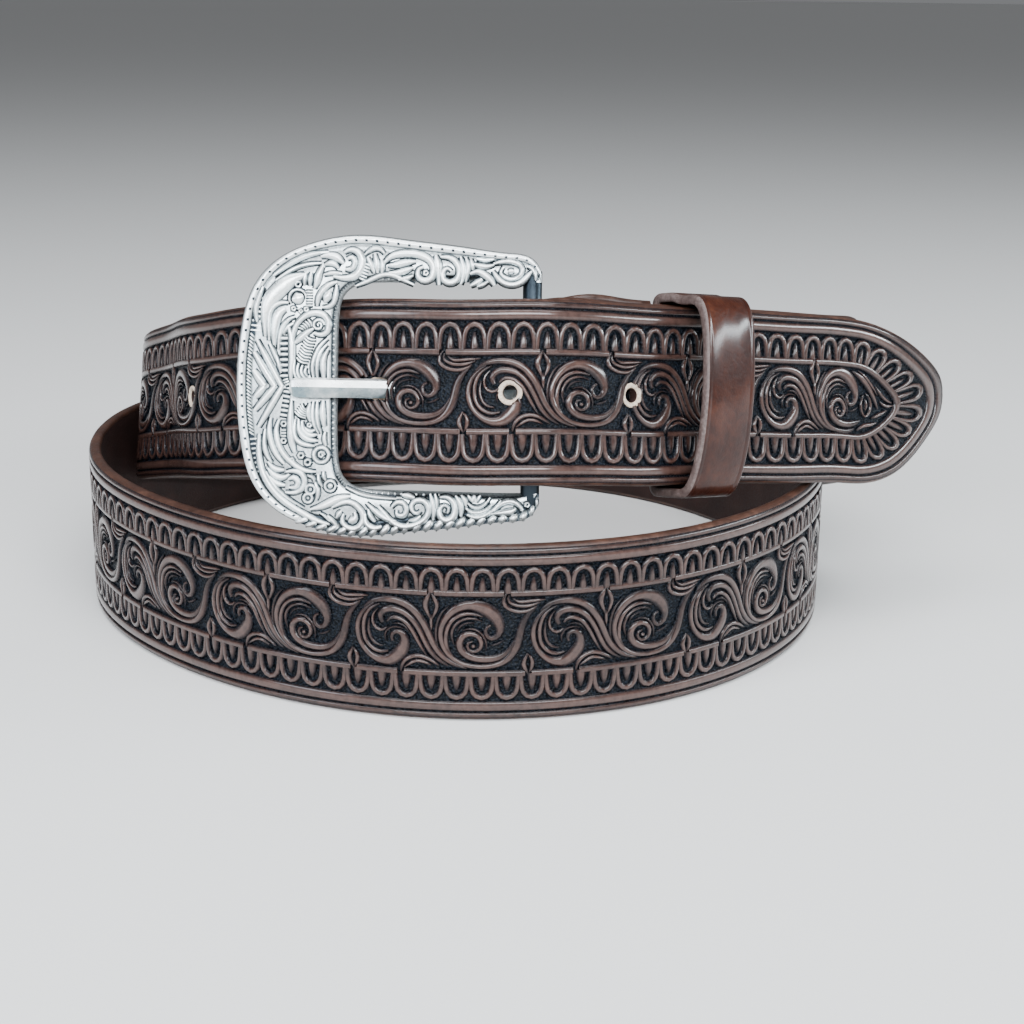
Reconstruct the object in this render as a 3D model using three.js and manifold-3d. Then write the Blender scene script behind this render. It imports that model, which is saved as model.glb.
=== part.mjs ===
// A tooled leather belt with a cast buckle, fastened and doubled into two turns that stand on edge.
// Millimetres, +Z up. The route is measured round the middle of the turns, and the finished belt is
// moved so that its origin is the middle of its base.

import * as THREE from 'three';
import { mergeVertices } from 'three/addons/utils/BufferGeometryUtils.js';
import Module from 'manifold-3d';

const solids = await Module();
solids.setup();

// Driving dimensions of the strap
const STRAP_WIDTH = 38.1;
const STRAP_THICKNESS = 3.0;
const FOLD_THICKNESS = 2.6;
const FLAP_END_THICKNESS = 1.2;
const FLAP_TRIM = 4.5;
const LAYER_GAP = 0.4;
const EDGE_CHAMFER = 0.6;
const TIP_LENGTH = 36;
const TIP_POINT = 0.68;
const HOLE_RADIUS = 1.6;
const HOLE_PITCH = 25.4;
const HOLES_EACH_SIDE = 2;

// Driving dimensions of the buckle
const BUCKLE_CENTRE = { x: 18.6, y: -73.6, z: 66.3 };
const BUCKLE_LEAN = 13;
const BAR_RADIUS = 2.0;
const BAR_CLEARANCE = 0.45;
const FRAME_THICKNESS = 3.5;
const RELIEF_HEIGHT = 0.6;
const ARM_SET_BACK = 1.0;
const WINDOW_LENGTH = 40;
const PRONG_WIDTH = 4.0;
const PRONG_CLEARANCE = 0.35;
const PRONG_HOLE_AT = -30;

// Driving dimensions of the keeper and of the two fasteners
const KEEPER_LENGTH = 14;
const KEEPER_THICKNESS = 2.0;
const KEEPER_CLEARANCE = { above: 0.4, below: 0.8 };
const KEEPER_SLACK = 1.1;
const KEEPER_BULGE = 6.8;
const KEEPER_TURN = -48.8;
const FASTENER_TURNS = [-65.0, -58.6];
const FASTENER_CLEARANCE = 0.3;

const LEATHER = { color: 0x6b3a2a, roughness: 0.5, metalness: 0 };
const KEEPER_LEATHER = { color: 0x7a3b22, roughness: 0.3, metalness: 0 };
const CAST_METAL = { color: 0xc9ccd0, roughness: 0.3, metalness: 1 };

const degrees = THREE.MathUtils.degToRad;

// One row of the route: where the bottom edge of the tooled face stands. The turn is in degrees round
// the middle, the lean in degrees away from the front (back) and to the right (side).
const section = (turn, radius, height, back = 0, side = 0) => ({ turn, radius, height, back, side });

// The outer layer from the heel bar to where the free end parts from the body of the strap
const LAP = [
  section(-77.4, 88.6, 49.4, 13),
  section(-72.5, 88.3, 48.9, 13),
  section(-67.3, 87.3, 48.0, 13),
  section(-60.5, 86.2, 46.5, 13),
  section(-51.6, 84.8, 44.7, 13),
  section(-40.6, 87.3, 42.6, 13),
  section(-31.1, 92.9, 40.4, 12),
  section(-23.6, 98.6, 38.4, 12),
];

// The free end past the keeper
const TIP = [
  section(-15.4, 108.5, 34.9, 12),
  section(-5.8, 119.6, 32.7, 12),
];

// The two turns: down behind on the right, once round on the table, then up inside the left side
const TURNS = [
  section(-12, 99.2, 35.1, 10),
  section(0, 100.6, 28.6, 10),
  section(20, 101.9, 17.6, 9),
  section(45, 104.2, 7.1, 7),
  section(70, 105.3, 1.3, 5),
  section(95, 104.6, 0, 3),
  section(120, 101.4, 0, 1),
  section(145, 96.4, 0),
  section(163, 94.0, 0),
  section(180, 91.0, 0),
  section(200, 88.5, 0),
  section(225, 87.3, 0),
  section(250, 89.6, 0),
  section(275, 93.0, 0),
  section(300, 94.3, 0),
  section(325, 93.3, 0),
  section(350, 92.1, 0),
  section(375, 93.2, 0),
  section(400, 97.0, 0),
  section(420, 100.4, 0),
  section(437, 101.0, 0),
  section(455, 99.3, 1.1),
  section(475, 96.2, 4.1),
  section(493, 93.2, 8.6, 1, 1),
  section(507, 91.4, 13.6, 2, 2),
  section(519, 89.8, 18.1, 3, 4),
  section(528, 86.2, 21.6, 4, 5),
  section(536, 80.4, 25.1, 6, 4),
];

// The bend on the near left and the stretch behind the closed side of the buckle
const NEAR = [
  section(545, 72.7, 28.7, 8, 2),
  section(561.3, 68.5, 33.7, 10),
  section(573.3, 68.0, 36.9, 11),
  section(583, 67.9, 39.6, 12),
  section(594, 69.8, 42.3, 13),
  section(606, 75.0, 45.1, 13),
  section(616, 80.0, 47.4, 13),
  section(623, 82.4, 48.3, 13),
  section(632, 85.5, 48.9, 13),
];

// How far the route's ripple on the table is cut off
const TABLE_TRIM = 0.1;

// Where a local place of the buckle stands: u to the right, w up the lean, v out of its front
const lean = degrees(90 - BUCKLE_LEAN);
const buckleMatrix = new THREE.Matrix4()
  .makeTranslation(BUCKLE_CENTRE.x, BUCKLE_CENTRE.y, BUCKLE_CENTRE.z)
  .multiply(new THREE.Matrix4().makeRotationX(lean));

// The strap's middle meets the heel bar a little under the buckle's own middle
const STRAP_DROP = 0.3;

function onTable({ turn, radius, height, back, side }) {
  const angle = degrees(turn);
  return [radius * Math.cos(angle), radius * Math.sin(angle), height, back, side];
}

// A stretch of the route moved inward by a distance, for a layer that lies behind it
function behind(rows, distance) {
  const points = rows.map(onTable);
  return points.map((point, i) => {
    const from = points[Math.max(i - 1, 0)];
    const to = points[Math.min(i + 1, points.length - 1)];
    const along = new THREE.Vector2(to[0] - from[0], to[1] - from[1]).normalize();
    return [point[0] - along.y * distance, point[1] + along.x * distance, ...point.slice(2)];
  });
}

// The fold round the heel bar, from behind it, past its left and on to its front
const FOLD_TURNS = [-85, -115, -145, -175, -205, -235, -268];

function foldRows() {
  const radius = BAR_RADIUS + BAR_CLEARANCE + FOLD_THICKNESS;
  return FOLD_TURNS.map((turn) => {
    const angle = degrees(turn);
    const bottom = -STRAP_WIDTH / 2 - STRAP_DROP;
    const place = new THREE.Vector3(radius * Math.cos(angle), bottom, radius * Math.sin(angle));
    place.applyMatrix4(buckleMatrix);
    return [place.x, place.y, place.z, BUCKLE_LEAN, 0];
  });
}

const BODY_BEHIND = STRAP_THICKNESS + LAYER_GAP;
const FLAP_BEHIND = BODY_BEHIND + STRAP_THICKNESS + LAYER_GAP + FOLD_THICKNESS;
const flap = behind(LAP, FLAP_BEHIND).slice(2, 5).reverse();
const body = behind(LAP, BODY_BEHIND).slice(1);
const rows = [
  ...flap,
  ...foldRows(),
  ...body,
  ...TURNS.map(onTable),
  ...NEAR.map(onTable),
  ...LAP.map(onTable),
  ...TIP.map(onTable),
];

// A natural cubic spline through rows of numbers, measured along the chords of their first three
class Route {
  constructor(points) {
    this.points = points;
    this.at = [0];
    for (let i = 1; i < points.length; i++) {
      const gap = Math.hypot(...[0, 1, 2].map((k) => points[i][k] - points[i - 1][k]));
      this.at.push(this.at[i - 1] + gap);
    }
    this.length = this.at[this.at.length - 1];
    this.bends = points[0].map((_, k) => this.solveBends(k));
  }

  // Second derivatives of one column, by forward sweep and back substitution
  solveBends(column) {
    const count = this.points.length;
    const value = (i) => this.points[i][column];
    const upper = new Array(count).fill(0);
    const result = new Array(count).fill(0);
    for (let i = 1; i < count - 1; i++) {
      const before = this.at[i] - this.at[i - 1];
      const after = this.at[i + 1] - this.at[i];
      const pull = 6 * ((value(i + 1) - value(i)) / after - (value(i) - value(i - 1)) / before);
      const pivot = 2 * (before + after) - before * upper[i - 1];
      upper[i] = after / pivot;
      result[i] = (pull - before * result[i - 1]) / pivot;
    }
    for (let i = count - 2; i > 0; i--) {
      result[i] -= upper[i] * result[i + 1];
    }
    return result;
  }

  // The value and the slope of every column at a distance along the route
  sample(distance) {
    let i = 1;
    while (i < this.at.length - 1 && this.at[i] < distance) {
      i += 1;
    }
    const span = this.at[i] - this.at[i - 1];
    const b = (distance - this.at[i - 1]) / span;
    const a = 1 - b;
    const value = [];
    const slope = [];
    this.bends.forEach((bend, k) => {
      const p = this.points[i - 1][k];
      const q = this.points[i][k];
      value.push(a * p + b * q + ((a ** 3 - a) * bend[i - 1] + (b ** 3 - b) * bend[i]) * span ** 2 / 6);
      slope.push((q - p) / span + ((1 - 3 * a * a) * bend[i - 1] + (3 * b * b - 1) * bend[i]) * span / 6);
    });
    return { value, slope };
  }

  // The strap's place there: bottom edge of the tooled face, along, up the width, and out of the face
  frame(distance) {
    const { value, slope } = this.sample(distance);
    const [x, y, z, back, side] = value;
    const place = new THREE.Vector3(x, y, Math.max(0, z - TABLE_TRIM));
    const along = new THREE.Vector3(...slope.slice(0, 3)).normalize();
    const up = new THREE.Vector3(Math.tan(degrees(side)), Math.tan(degrees(back)), 1).normalize();
    const out = new THREE.Vector3().crossVectors(along, up).normalize();
    return { place, along, up, out };
  }

  bendRadius(distance) {
    const step = 1;
    const before = this.frame(distance - step).along;
    const after = this.frame(distance + step).along;
    return 2 * step / Math.max(before.angleTo(after), 1e-4);
  }
}

const route = new Route(rows);
const foldEnd = route.at[flap.length + FOLD_TURNS.length];
const bodyStart = route.at[flap.length + FOLD_TURNS.length + 1];
const outerStart = route.at[route.at.length - LAP.length - TIP.length];
const tipStart = route.length - TIP_LENGTH;

function thickness(distance) {
  const SKIVE_LENGTH = 4;
  if (distance < foldEnd) {
    const share = Math.min((distance - FLAP_TRIM) / SKIVE_LENGTH, 1);
    return THREE.MathUtils.lerp(FLAP_END_THICKNESS, FOLD_THICKNESS, share);
  }
  const blend = THREE.MathUtils.smoothstep(distance, foldEnd, bodyStart + 6);
  return THREE.MathUtils.lerp(FOLD_THICKNESS, STRAP_THICKNESS, blend);
}

// Distances of the strap's sections, closer together where it bends and at the tip
function stations() {
  const STEP_ANGLE = 0.095;
  const STEP_SHORTEST = 1.7;
  const STEP_LONGEST = 8.5;
  const TIP_STEPS = 11;
  const list = [];
  let at = FLAP_TRIM;
  while (at < tipStart - STEP_SHORTEST) {
    list.push(at);
    at += THREE.MathUtils.clamp(route.bendRadius(at) * STEP_ANGLE, STEP_SHORTEST, STEP_LONGEST);
  }
  for (let i = 0; i <= TIP_STEPS; i++) {
    list.push(tipStart + TIP_LENGTH * Math.sin(degrees(87) * i / TIP_STEPS));
  }
  return list;
}

// The width shrinks towards the tip, which is a little more pointed than an ellipse
function widthShare(distance) {
  const share = (distance - tipStart) / TIP_LENGTH;
  return share > 0 ? Math.max(0, 1 - share * share) ** TIP_POINT : 1;
}

function toSolid(geometry) {
  const bare = geometry.clone();
  bare.deleteAttribute('normal');
  bare.deleteAttribute('uv');
  const merged = mergeVertices(bare, 1e-4);
  return new solids.Manifold(new solids.Mesh({
    numProp: 3,
    vertProperties: new Float32Array(merged.attributes.position.array),
    triVerts: new Uint32Array(merged.index.array),
  }));
}

function toGeometry(solid) {
  const mesh = solid.getMesh();
  const geometry = new THREE.BufferGeometry();
  geometry.setAttribute('position', new THREE.BufferAttribute(new Float32Array(mesh.vertProperties), 3));
  geometry.setIndex(new THREE.BufferAttribute(new Uint32Array(mesh.triVerts), 1));
  return geometry;
}

// The plain strap: a chamfered section, bent station by station along the route
function strapBlank() {
  const list = stations();
  const chamferShare = EDGE_CHAMFER / STRAP_THICKNESS;
  const corners = [
    [0, EDGE_CHAMFER],
    [chamferShare, 0],
    [1 - chamferShare, 0],
    [1, EDGE_CHAMFER],
    [1, STRAP_WIDTH - EDGE_CHAMFER],
    [1 - chamferShare, STRAP_WIDTH],
    [chamferShare, STRAP_WIDTH],
    [0, STRAP_WIDTH - EDGE_CHAMFER],
  ].map(([depth, width]) => new THREE.Vector2(depth, width));
  const shape = new THREE.Shape(corners);
  const geometry = new THREE.ExtrudeGeometry(shape, {
    depth: list.length - 1,
    steps: list.length - 1,
    bevelEnabled: false,
  });
  const position = geometry.attributes.position;
  for (let i = 0; i < position.count; i++) {
    const distance = list[Math.round(position.getZ(i))];
    const { place, up, out } = route.frame(distance);
    const depth = position.getX(i) * thickness(distance);
    const width = STRAP_WIDTH / 2 + (position.getY(i) - STRAP_WIDTH / 2) * widthShare(distance);
    place.addScaledVector(up, width).addScaledVector(out, -depth);
    position.setXYZ(i, place.x, place.y, place.z);
  }
  return toSolid(geometry);
}

// A turned cutter or post along the strap's outward direction, from rows of depth and radius
function turned(distance, profile, sides) {
  const { place, up, out } = route.frame(distance);
  const points = profile.map(([radius, depth]) => new THREE.Vector2(radius, -depth));
  const geometry = new THREE.LatheGeometry(points, sides);
  const middle = place.clone().addScaledVector(up, STRAP_WIDTH / 2);
  const across = new THREE.Vector3().crossVectors(up, out);
  geometry.applyMatrix4(new THREE.Matrix4().makeBasis(up, out, across).setPosition(middle));
  return geometry;
}

function holeCutter(distance) {
  const reach = 1;
  const profile = [
    [0, STRAP_THICKNESS + LAYER_GAP / 2],
    [HOLE_RADIUS, STRAP_THICKNESS + LAYER_GAP / 2],
    [HOLE_RADIUS, -reach],
    [0, -reach],
  ];
  return toSolid(turned(distance, profile, 14));
}

// The post that holds the folded end: a flange sunk in the body's face and a cap behind the flap
function fastener(distance, clearance) {
  const FLANGE = { radius: 4, from: 0.35, to: 1.0 };
  const POST_RADIUS = 2;
  const CAP = { radius: 4.0, from: FLAP_BEHIND - BODY_BEHIND + 0.5, thick: 1.3 };
  const front = clearance > 0 ? -LAYER_GAP / 2 : FLANGE.from;
  const capBack = CAP.from + CAP.thick;
  const profile = [
    [0, capBack],
    [CAP.radius - 0.5, capBack],
    [CAP.radius, capBack - 0.5],
    [CAP.radius, CAP.from],
    [POST_RADIUS + clearance, CAP.from],
    [POST_RADIUS + clearance, FLANGE.to + clearance],
    [FLANGE.radius + clearance, FLANGE.to + clearance],
    [FLANGE.radius + clearance, front],
    [0, front],
  ];
  return turned(distance, profile, 16);
}

// Half of the buckle's outline, from the end of an arm round to the middle of the closed side
const OUTER_HALF = [
  { u: 1.9, w: 21.8 },
  { u: 1.7, w: 24.4 },
  { u: -0.2, w: 26.9 },
  { u: -5, w: 27.9 },
  { u: -14, w: 29.0 },
  { u: -26, w: 30.3 },
  { u: -36.5, w: 31.1 },
  { u: -45.5, w: 29.4 },
  { u: -52.2, w: 26.3 },
  { u: -57.0, w: 21.4 },
  { u: -60.2, w: 11.3 },
  { u: -61.0, w: 0 },
];
const INNER_HALF = [
  { u: 1.0, w: 21.8 },
  { u: -16, w: 21.7 },
  { u: -33, w: 21.3 },
  { u: -37.4, w: 20.1 },
  { u: -39.7, w: 17 },
  { u: -40.1, w: 10 },
  { u: -40.1, w: 0 },
];

// The crown of the buckle's outline sits a little above the strap's middle
const OUTLINE_RISE = 0.5;

function mirroredCurve(half, stretches) {
  const upper = half.map(({ u, w }) => new THREE.Vector2(u, w));
  const lower = half.slice(0, -1).reverse().map(({ u, w }) => new THREE.Vector2(u, -w));
  const curve = new THREE.SplineCurve([...upper, ...lower]);
  return curve.getPoints(stretches).map((p) => new THREE.Vector2(p.x, p.y + OUTLINE_RISE));
}

const outerLine = mirroredCurve(OUTER_HALF, 72);
const innerLine = mirroredCurve(INNER_HALF, 36);

// A raised or cut shape of the buckle's front, between two heights
function raised(points, from, to) {
  const shape = new THREE.Shape(points);
  const geometry = new THREE.ExtrudeGeometry(shape, { depth: to - from, bevelEnabled: false });
  geometry.translate(0, 0, from);
  return toSolid(geometry);
}

// The outline moved inward, for the rope edge and the panel inside it
function inset(line, distance) {
  return line.map((point, i) => {
    const from = line[Math.max(i - 1, 0)];
    const to = line[Math.min(i + 1, line.length - 1)];
    const along = to.clone().sub(from).normalize();
    return new THREE.Vector2(point.x - along.y * distance, point.y + along.x * distance);
  });
}

// A stroke with a width at each of its points, as one closed outline
function stroke(points, widths) {
  const half = (i) => widths(i / (points.length - 1)) / 2;
  const across = inset(points, 1).map((p, i) => p.sub(points[i]).multiplyScalar(half(i)));
  const side = points.map((p, i) => p.clone().add(across[i]));
  const other = points.map((p, i) => p.clone().sub(across[i])).reverse();
  return [...side, ...other];
}

// The raised scrolls: each starts at its eye and winds outward. The angle is of the outer end.
const scroll = (u, w, radius, turns, angle, hand) => ({ u, w, radius, turns, angle, hand });
const SCROLLS = [
  scroll(-45.4, 11.0, 3.6, 1.4, 100, 1),
  scroll(-50.6, 16.6, 2.7, 1.1, 250, -1),
  scroll(-45.6, 21.6, 2.6, 1.2, 200, 1),
  scroll(-37.2, 25.6, 3.0, 1.3, 20, -1),
  scroll(-29.2, 25.2, 2.8, 1.2, 160, 1),
  scroll(-21.4, 25.0, 2.7, 1.2, 20, -1),
  scroll(-13.8, 24.6, 2.5, 1.2, 160, 1),
  scroll(-4.4, 24.4, 2.4, 1.4, 150, 1),
];

// The raised leaves, from stem to point, each a bowed stroke
const leaf = (u, w, toU, toW, width, bow) => ({ u, w, toU, toW, width, bow });
const LEAVES = [
  leaf(-46.6, 6.8, -47.6, 2.4, 2.2, 0.8),
  leaf(-43.0, 13.6, -43.0, 19.0, 1.8, 1.0),
  leaf(-52.6, 12.6, -53.4, 20.4, 1.6, -1.2),
  leaf(-41.6, 23.0, -40.6, 28.2, 1.8, -0.8),
  leaf(-33.2, 23.2, -32.8, 28.2, 1.8, 0.8),
  leaf(-25.4, 23.0, -25.2, 27.6, 1.8, -0.8),
  leaf(-17.6, 22.8, -17.4, 27.0, 1.7, 0.8),
  leaf(-10.8, 23.2, -7.4, 26.0, 1.6, 0.8),
];

function scrollOutline({ u, w, radius, turns, angle, hand }) {
  const STEPS = 14;
  const EYE = 0.22;
  const points = [];
  for (let i = 0; i <= STEPS; i++) {
    const share = i / STEPS;
    const turn = degrees(angle) - hand * (1 - share) * turns * 2 * Math.PI;
    const reach = radius * THREE.MathUtils.lerp(EYE, 0.86, share);
    points.push(new THREE.Vector2(u + reach * Math.cos(turn), w + reach * Math.sin(turn)));
  }
  return stroke(points, (share) => radius * THREE.MathUtils.lerp(0.34, 0.2, share));
}

function leafOutline({ u, w, toU, toW, width, bow }) {
  const STEPS = 6;
  const from = new THREE.Vector2(u, w);
  const to = new THREE.Vector2(toU, toW);
  const across = to.clone().sub(from).normalize().rotateAround(new THREE.Vector2(), Math.PI / 2);
  const points = [];
  for (let i = 0; i <= STEPS; i++) {
    const share = i / STEPS;
    points.push(from.clone().lerp(to, share).addScaledVector(across, bow * 4 * share * (1 - share)));
  }
  return stroke(points, (share) => 0.3 + width * Math.sin(Math.PI * (0.15 + 0.85 * share)));
}

const mirrored = (points) => points.map((p) => new THREE.Vector2(p.x, -p.y)).reverse();
const lifted = (points) => points.map((p) => new THREE.Vector2(p.x, p.y + OUTLINE_RISE));

function counterClockwise(points) {
  return THREE.ShapeUtils.isClockWise(points) ? [...points].reverse() : points;
}

// The slanted strands of the rope edge, at an even pitch along the outline
function ropeStrands() {
  const PITCH = 2.6;
  const MIDDLE = 1.5;
  const HALF_ACROSS = 1.1;
  const HALF_ALONG = 0.75;
  const SLANT = 0.7;
  const line = new THREE.CurvePath();
  const middle = inset(outerLine, MIDDLE);
  for (let i = 1; i < middle.length; i++) {
    line.add(new THREE.LineCurve(middle[i - 1], middle[i]));
  }
  const count = Math.floor(line.getLength() / PITCH);
  const strands = [];
  for (let i = 1; i < count; i++) {
    const place = line.getPointAt(i / count);
    const ahead = line.getPointAt(Math.min(1, (i + 0.3) / count));
    const along = ahead.clone().sub(place).normalize();
    const across = new THREE.Vector2(-along.y, along.x);
    const corner = (a, c) => place.clone().addScaledVector(along, a + c * SLANT).addScaledVector(across, c);
    strands.push([
      corner(-HALF_ALONG, -HALF_ACROSS),
      corner(HALF_ALONG, -HALF_ACROSS),
      corner(HALF_ALONG, HALF_ACROSS),
      corner(-HALF_ALONG, HALF_ACROSS),
    ]);
  }
  return strands;
}

// The nested angles on the closed side, pointing at the window
function chevrons() {
  return [0, 2.1, 4.2].map((shift) => {
    const points = [
      new THREE.Vector2(-58.2 + shift * 0.4, 10.6 - shift * 1.4),
      new THREE.Vector2(-51.2 - shift, 0),
      new THREE.Vector2(-58.2 + shift * 0.4, -10.6 + shift * 1.4),
    ];
    return stroke(points, () => 0.7);
  });
}

// Side of the prong: rows of where it is along the buckle, and its top and underside there
const PRONG = [
  { u: -1.5, top: 3.4, under: -1.0 },
  { u: -6, top: 2.6, under: -0.6 },
  { u: -14, top: 2.4, under: -0.3 },
  { u: -20, top: 2.6, under: 0.1 },
  { u: -24, top: 3.1, under: 0.6 },
  { u: -29, top: 4.1, under: 1.6 },
  { u: -34, top: 5.3, under: 2.8 },
  { u: -40, top: 6.3, under: 3.85 },
  { u: -47.2, top: 6.1, under: 3.85 },
  { u: -49.2, top: 5.4, under: 3.85 },
];
const EYE_THICKNESS = 1.7;

function prongBar(clearance) {
  const top = PRONG.map(({ u, top: v }) => new THREE.Vector2(u, v + clearance));
  const under = PRONG.map(({ u, under: v }) => new THREE.Vector2(u, v - clearance)).reverse();
  const last = PRONG[PRONG.length - 1];
  const nose = new THREE.Vector2(last.u - 0.5 - clearance, (last.top + last.under) / 2);
  const shape = new THREE.Shape(counterClockwise([...top, nose, ...under]));
  const width = PRONG_WIDTH + 2 * clearance;
  const chamfer = 0.6;
  const geometry = new THREE.ExtrudeGeometry(shape, {
    depth: width - 2 * chamfer,
    bevelEnabled: true,
    bevelSegments: 1,
    bevelSize: chamfer,
    bevelOffset: -chamfer,
    bevelThickness: chamfer,
  });
  geometry.translate(0, 0, -width / 2 + chamfer);
  geometry.rotateX(Math.PI / 2);
  return geometry;
}

// A cylinder that lies along the heel bar
function alongBar(radius, length, sides) {
  return new THREE.CylinderGeometry(radius, radius, length, sides);
}

function prongSolid() {
  const eye = alongBar(BAR_RADIUS + BAR_CLEARANCE + EYE_THICKNESS, PRONG_WIDTH, 24);
  const bore = alongBar(BAR_RADIUS + BAR_CLEARANCE, PRONG_WIDTH + 2, 24);
  return toSolid(prongBar(0)).add(toSolid(eye)).subtract(toSolid(bore));
}

// The frame lies flat while it is made, then its arms bend back towards the heel bar
function bendArms(solid) {
  return solid.warp((point) => {
    const share = THREE.MathUtils.clamp((point[0] + WINDOW_LENGTH) / WINDOW_LENGTH, 0, 1.1);
    point[2] -= ARM_SET_BACK * share * share;
  });
}

function frameSolid() {
  const plateTop = FRAME_THICKNESS - RELIEF_HEIGHT / 2;
  const reliefTop = FRAME_THICKNESS + RELIEF_HEIGHT / 2;
  const outline = counterClockwise([...outerLine, ...innerLine.slice().reverse()]);
  let solid = raised(outline, 0, plateTop);
  const flats = [...SCROLLS.map(scrollOutline), ...LEAVES.map(leafOutline)];
  const both = [...flats, ...flats.map(mirrored), ...chevrons()].map(lifted);
  for (const points of [...both, ...ropeStrands()]) {
    solid = solid.add(raised(counterClockwise(points), plateTop - 0.3, reliefTop));
  }
  solid = solid.subtract(toSolid(prongSeat()));
  solid = bendArms(solid);
  const barLength = 2 * (OUTER_HALF[0].w + 2.6);
  const bar = alongBar(BAR_RADIUS, barLength, 16);
  bar.translate(0, OUTLINE_RISE, 0);
  return solid.add(toSolid(bar));
}

// The flat place on the closed side where the prong's tip lies
function prongSeat() {
  const length = 12;
  const seat = new THREE.BoxGeometry(length, PRONG_WIDTH + 1.2, 2);
  seat.translate(-40 - length / 2 + 1.4, 0, FRAME_THICKNESS - RELIEF_HEIGHT / 2 + 1);
  return seat;
}

// The keeper's loop as a section across the strap: height above the tooled face, then width. It stands
// off the face in a bow that is fuller near the strap's upper edge.
function keeperShape() {
  const inside = {
    near: -KEEPER_SLACK,
    far: BODY_BEHIND + STRAP_THICKNESS + KEEPER_SLACK,
    low: -KEEPER_CLEARANCE.below,
    high: STRAP_WIDTH + KEEPER_CLEARANCE.above,
  };
  const loop = (grow) => {
    const path = new THREE.Path();
    const near = -(inside.near - grow * 0.3);
    const far = -(inside.far + grow);
    const low = inside.low - grow;
    const high = inside.high + grow;
    const front = KEEPER_BULGE + grow;
    const corner = 0.8 + grow;
    const crown = (low + high) / 2 + 3.4;
    const highBehind = high + BODY_BEHIND * Math.tan(degrees(BUCKLE_LEAN));
    path.moveTo(far, low + corner);
    path.quadraticCurveTo(far, low, far + corner, low);
    path.lineTo(near - 1, low);
    path.bezierCurveTo(front * 0.64, low, front * 0.97, low + 12.8, front, crown);
    path.bezierCurveTo(front, high - 6, front * 0.92, high, near + 1.3, high);
    path.lineTo(0, high);
    path.lineTo(-BODY_BEHIND, highBehind);
    path.lineTo(far + corner, highBehind);
    path.quadraticCurveTo(far, highBehind, far, highBehind - corner);
    path.closePath();
    return path;
  };
  const shape = new THREE.Shape(loop(KEEPER_THICKNESS).getPoints(8));
  shape.holes.push(new THREE.Path(loop(0).getPoints(8)));
  return shape;
}

// Distance along the outer layer of a turn named in the lap's table
function distanceAt(turn, start) {
  let distance = start;
  const angleOf = (at) => {
    const { value } = route.sample(at);
    return THREE.MathUtils.radToDeg(Math.atan2(value[1], value[0]));
  };
  while (angleOf(distance) < turn) {
    distance += 0.2;
  }
  return distance;
}

function keeperGeometry() {
  const distance = distanceAt(KEEPER_TURN, outerStart);
  const { place, along, up, out } = route.frame(distance);
  const geometry = new THREE.ExtrudeGeometry(keeperShape(), { depth: KEEPER_LENGTH, bevelEnabled: false });
  geometry.translate(0, 0, -KEEPER_LENGTH / 2);
  geometry.applyMatrix4(new THREE.Matrix4().makeBasis(out, up, along.negate()).setPosition(place));
  return geometry;
}

// The middle hole is where the prong comes through, and the others lie on both sides of it
function holeDistances() {
  let middle = outerStart;
  while (route.sample(middle).value[0] - BUCKLE_CENTRE.x > PRONG_HOLE_AT) {
    middle -= 0.2;
  }
  const list = [];
  for (let i = -HOLES_EACH_SIDE; i <= HOLES_EACH_SIDE; i++) {
    if (i !== 0) {
      list.push(middle + i * HOLE_PITCH);
    }
  }
  return list;
}

const fastenerDistances = FASTENER_TURNS.map((turn) => distanceAt(turn, foldEnd));

function strapSolid() {
  let solid = strapBlank();
  for (const distance of holeDistances()) {
    solid = solid.subtract(holeCutter(distance));
  }
  for (const distance of fastenerDistances) {
    solid = solid.subtract(toSolid(fastener(distance, FASTENER_CLEARANCE)));
  }
  const slot = alongBar(BAR_RADIUS + BAR_CLEARANCE + FOLD_THICKNESS + 0.35, PRONG_WIDTH + 1.2, 24);
  const prong = prongBar(PRONG_CLEARANCE);
  for (const cutter of [slot, prong]) {
    cutter.applyMatrix4(buckleMatrix);
    solid = solid.subtract(toSolid(cutter));
  }
  return solid;
}

function piece(name, geometry, look) {
  const mesh = new THREE.Mesh(geometry, new THREE.MeshStandardMaterial(look));
  mesh.name = name;
  return mesh;
}

const buckle = new THREE.Group();
buckle.position.set(BUCKLE_CENTRE.x, BUCKLE_CENTRE.y, BUCKLE_CENTRE.z);
buckle.rotation.x = lean;
buckle.add(piece('buckle_frame', toGeometry(frameSolid()), CAST_METAL));
buckle.add(piece('prong', toGeometry(prongSolid()), CAST_METAL));

const belt = new THREE.Group();
belt.add(piece('strap', toGeometry(strapSolid()), LEATHER));
belt.add(buckle);
belt.add(piece('keeper', keeperGeometry(), KEEPER_LEATHER));
const FASTENER_NAMES = ['fastener_near_bar', 'fastener_near_keeper'];
fastenerDistances.forEach((distance, i) => {
  belt.add(piece(FASTENER_NAMES[i], fastener(distance, 0), CAST_METAL));
});

// The origin goes to the middle of the base
belt.updateMatrixWorld(true);
const reach = new THREE.Box3().setFromObject(belt, true);
const middle = reach.getCenter(new THREE.Vector3());
belt.position.set(-middle.x, -middle.y, -reach.min.z);

export default belt;
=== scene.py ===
# %% [markdown]
# # A tooled leather belt with a cast buckle
# The belt is one long strap, buckled and doubled into two turns that stand on edge. Its face is carved
# with scrolls, arches and beaded lines. The lesson starts from the solid model of the belt and dresses
# it piece by piece: the strap, its carving, the cast buckle, the keeper and the finishes.

# %% Load the frame
import math

import bmesh
import bpy
import numpy as np
from mathutils import Matrix, Vector


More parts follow.
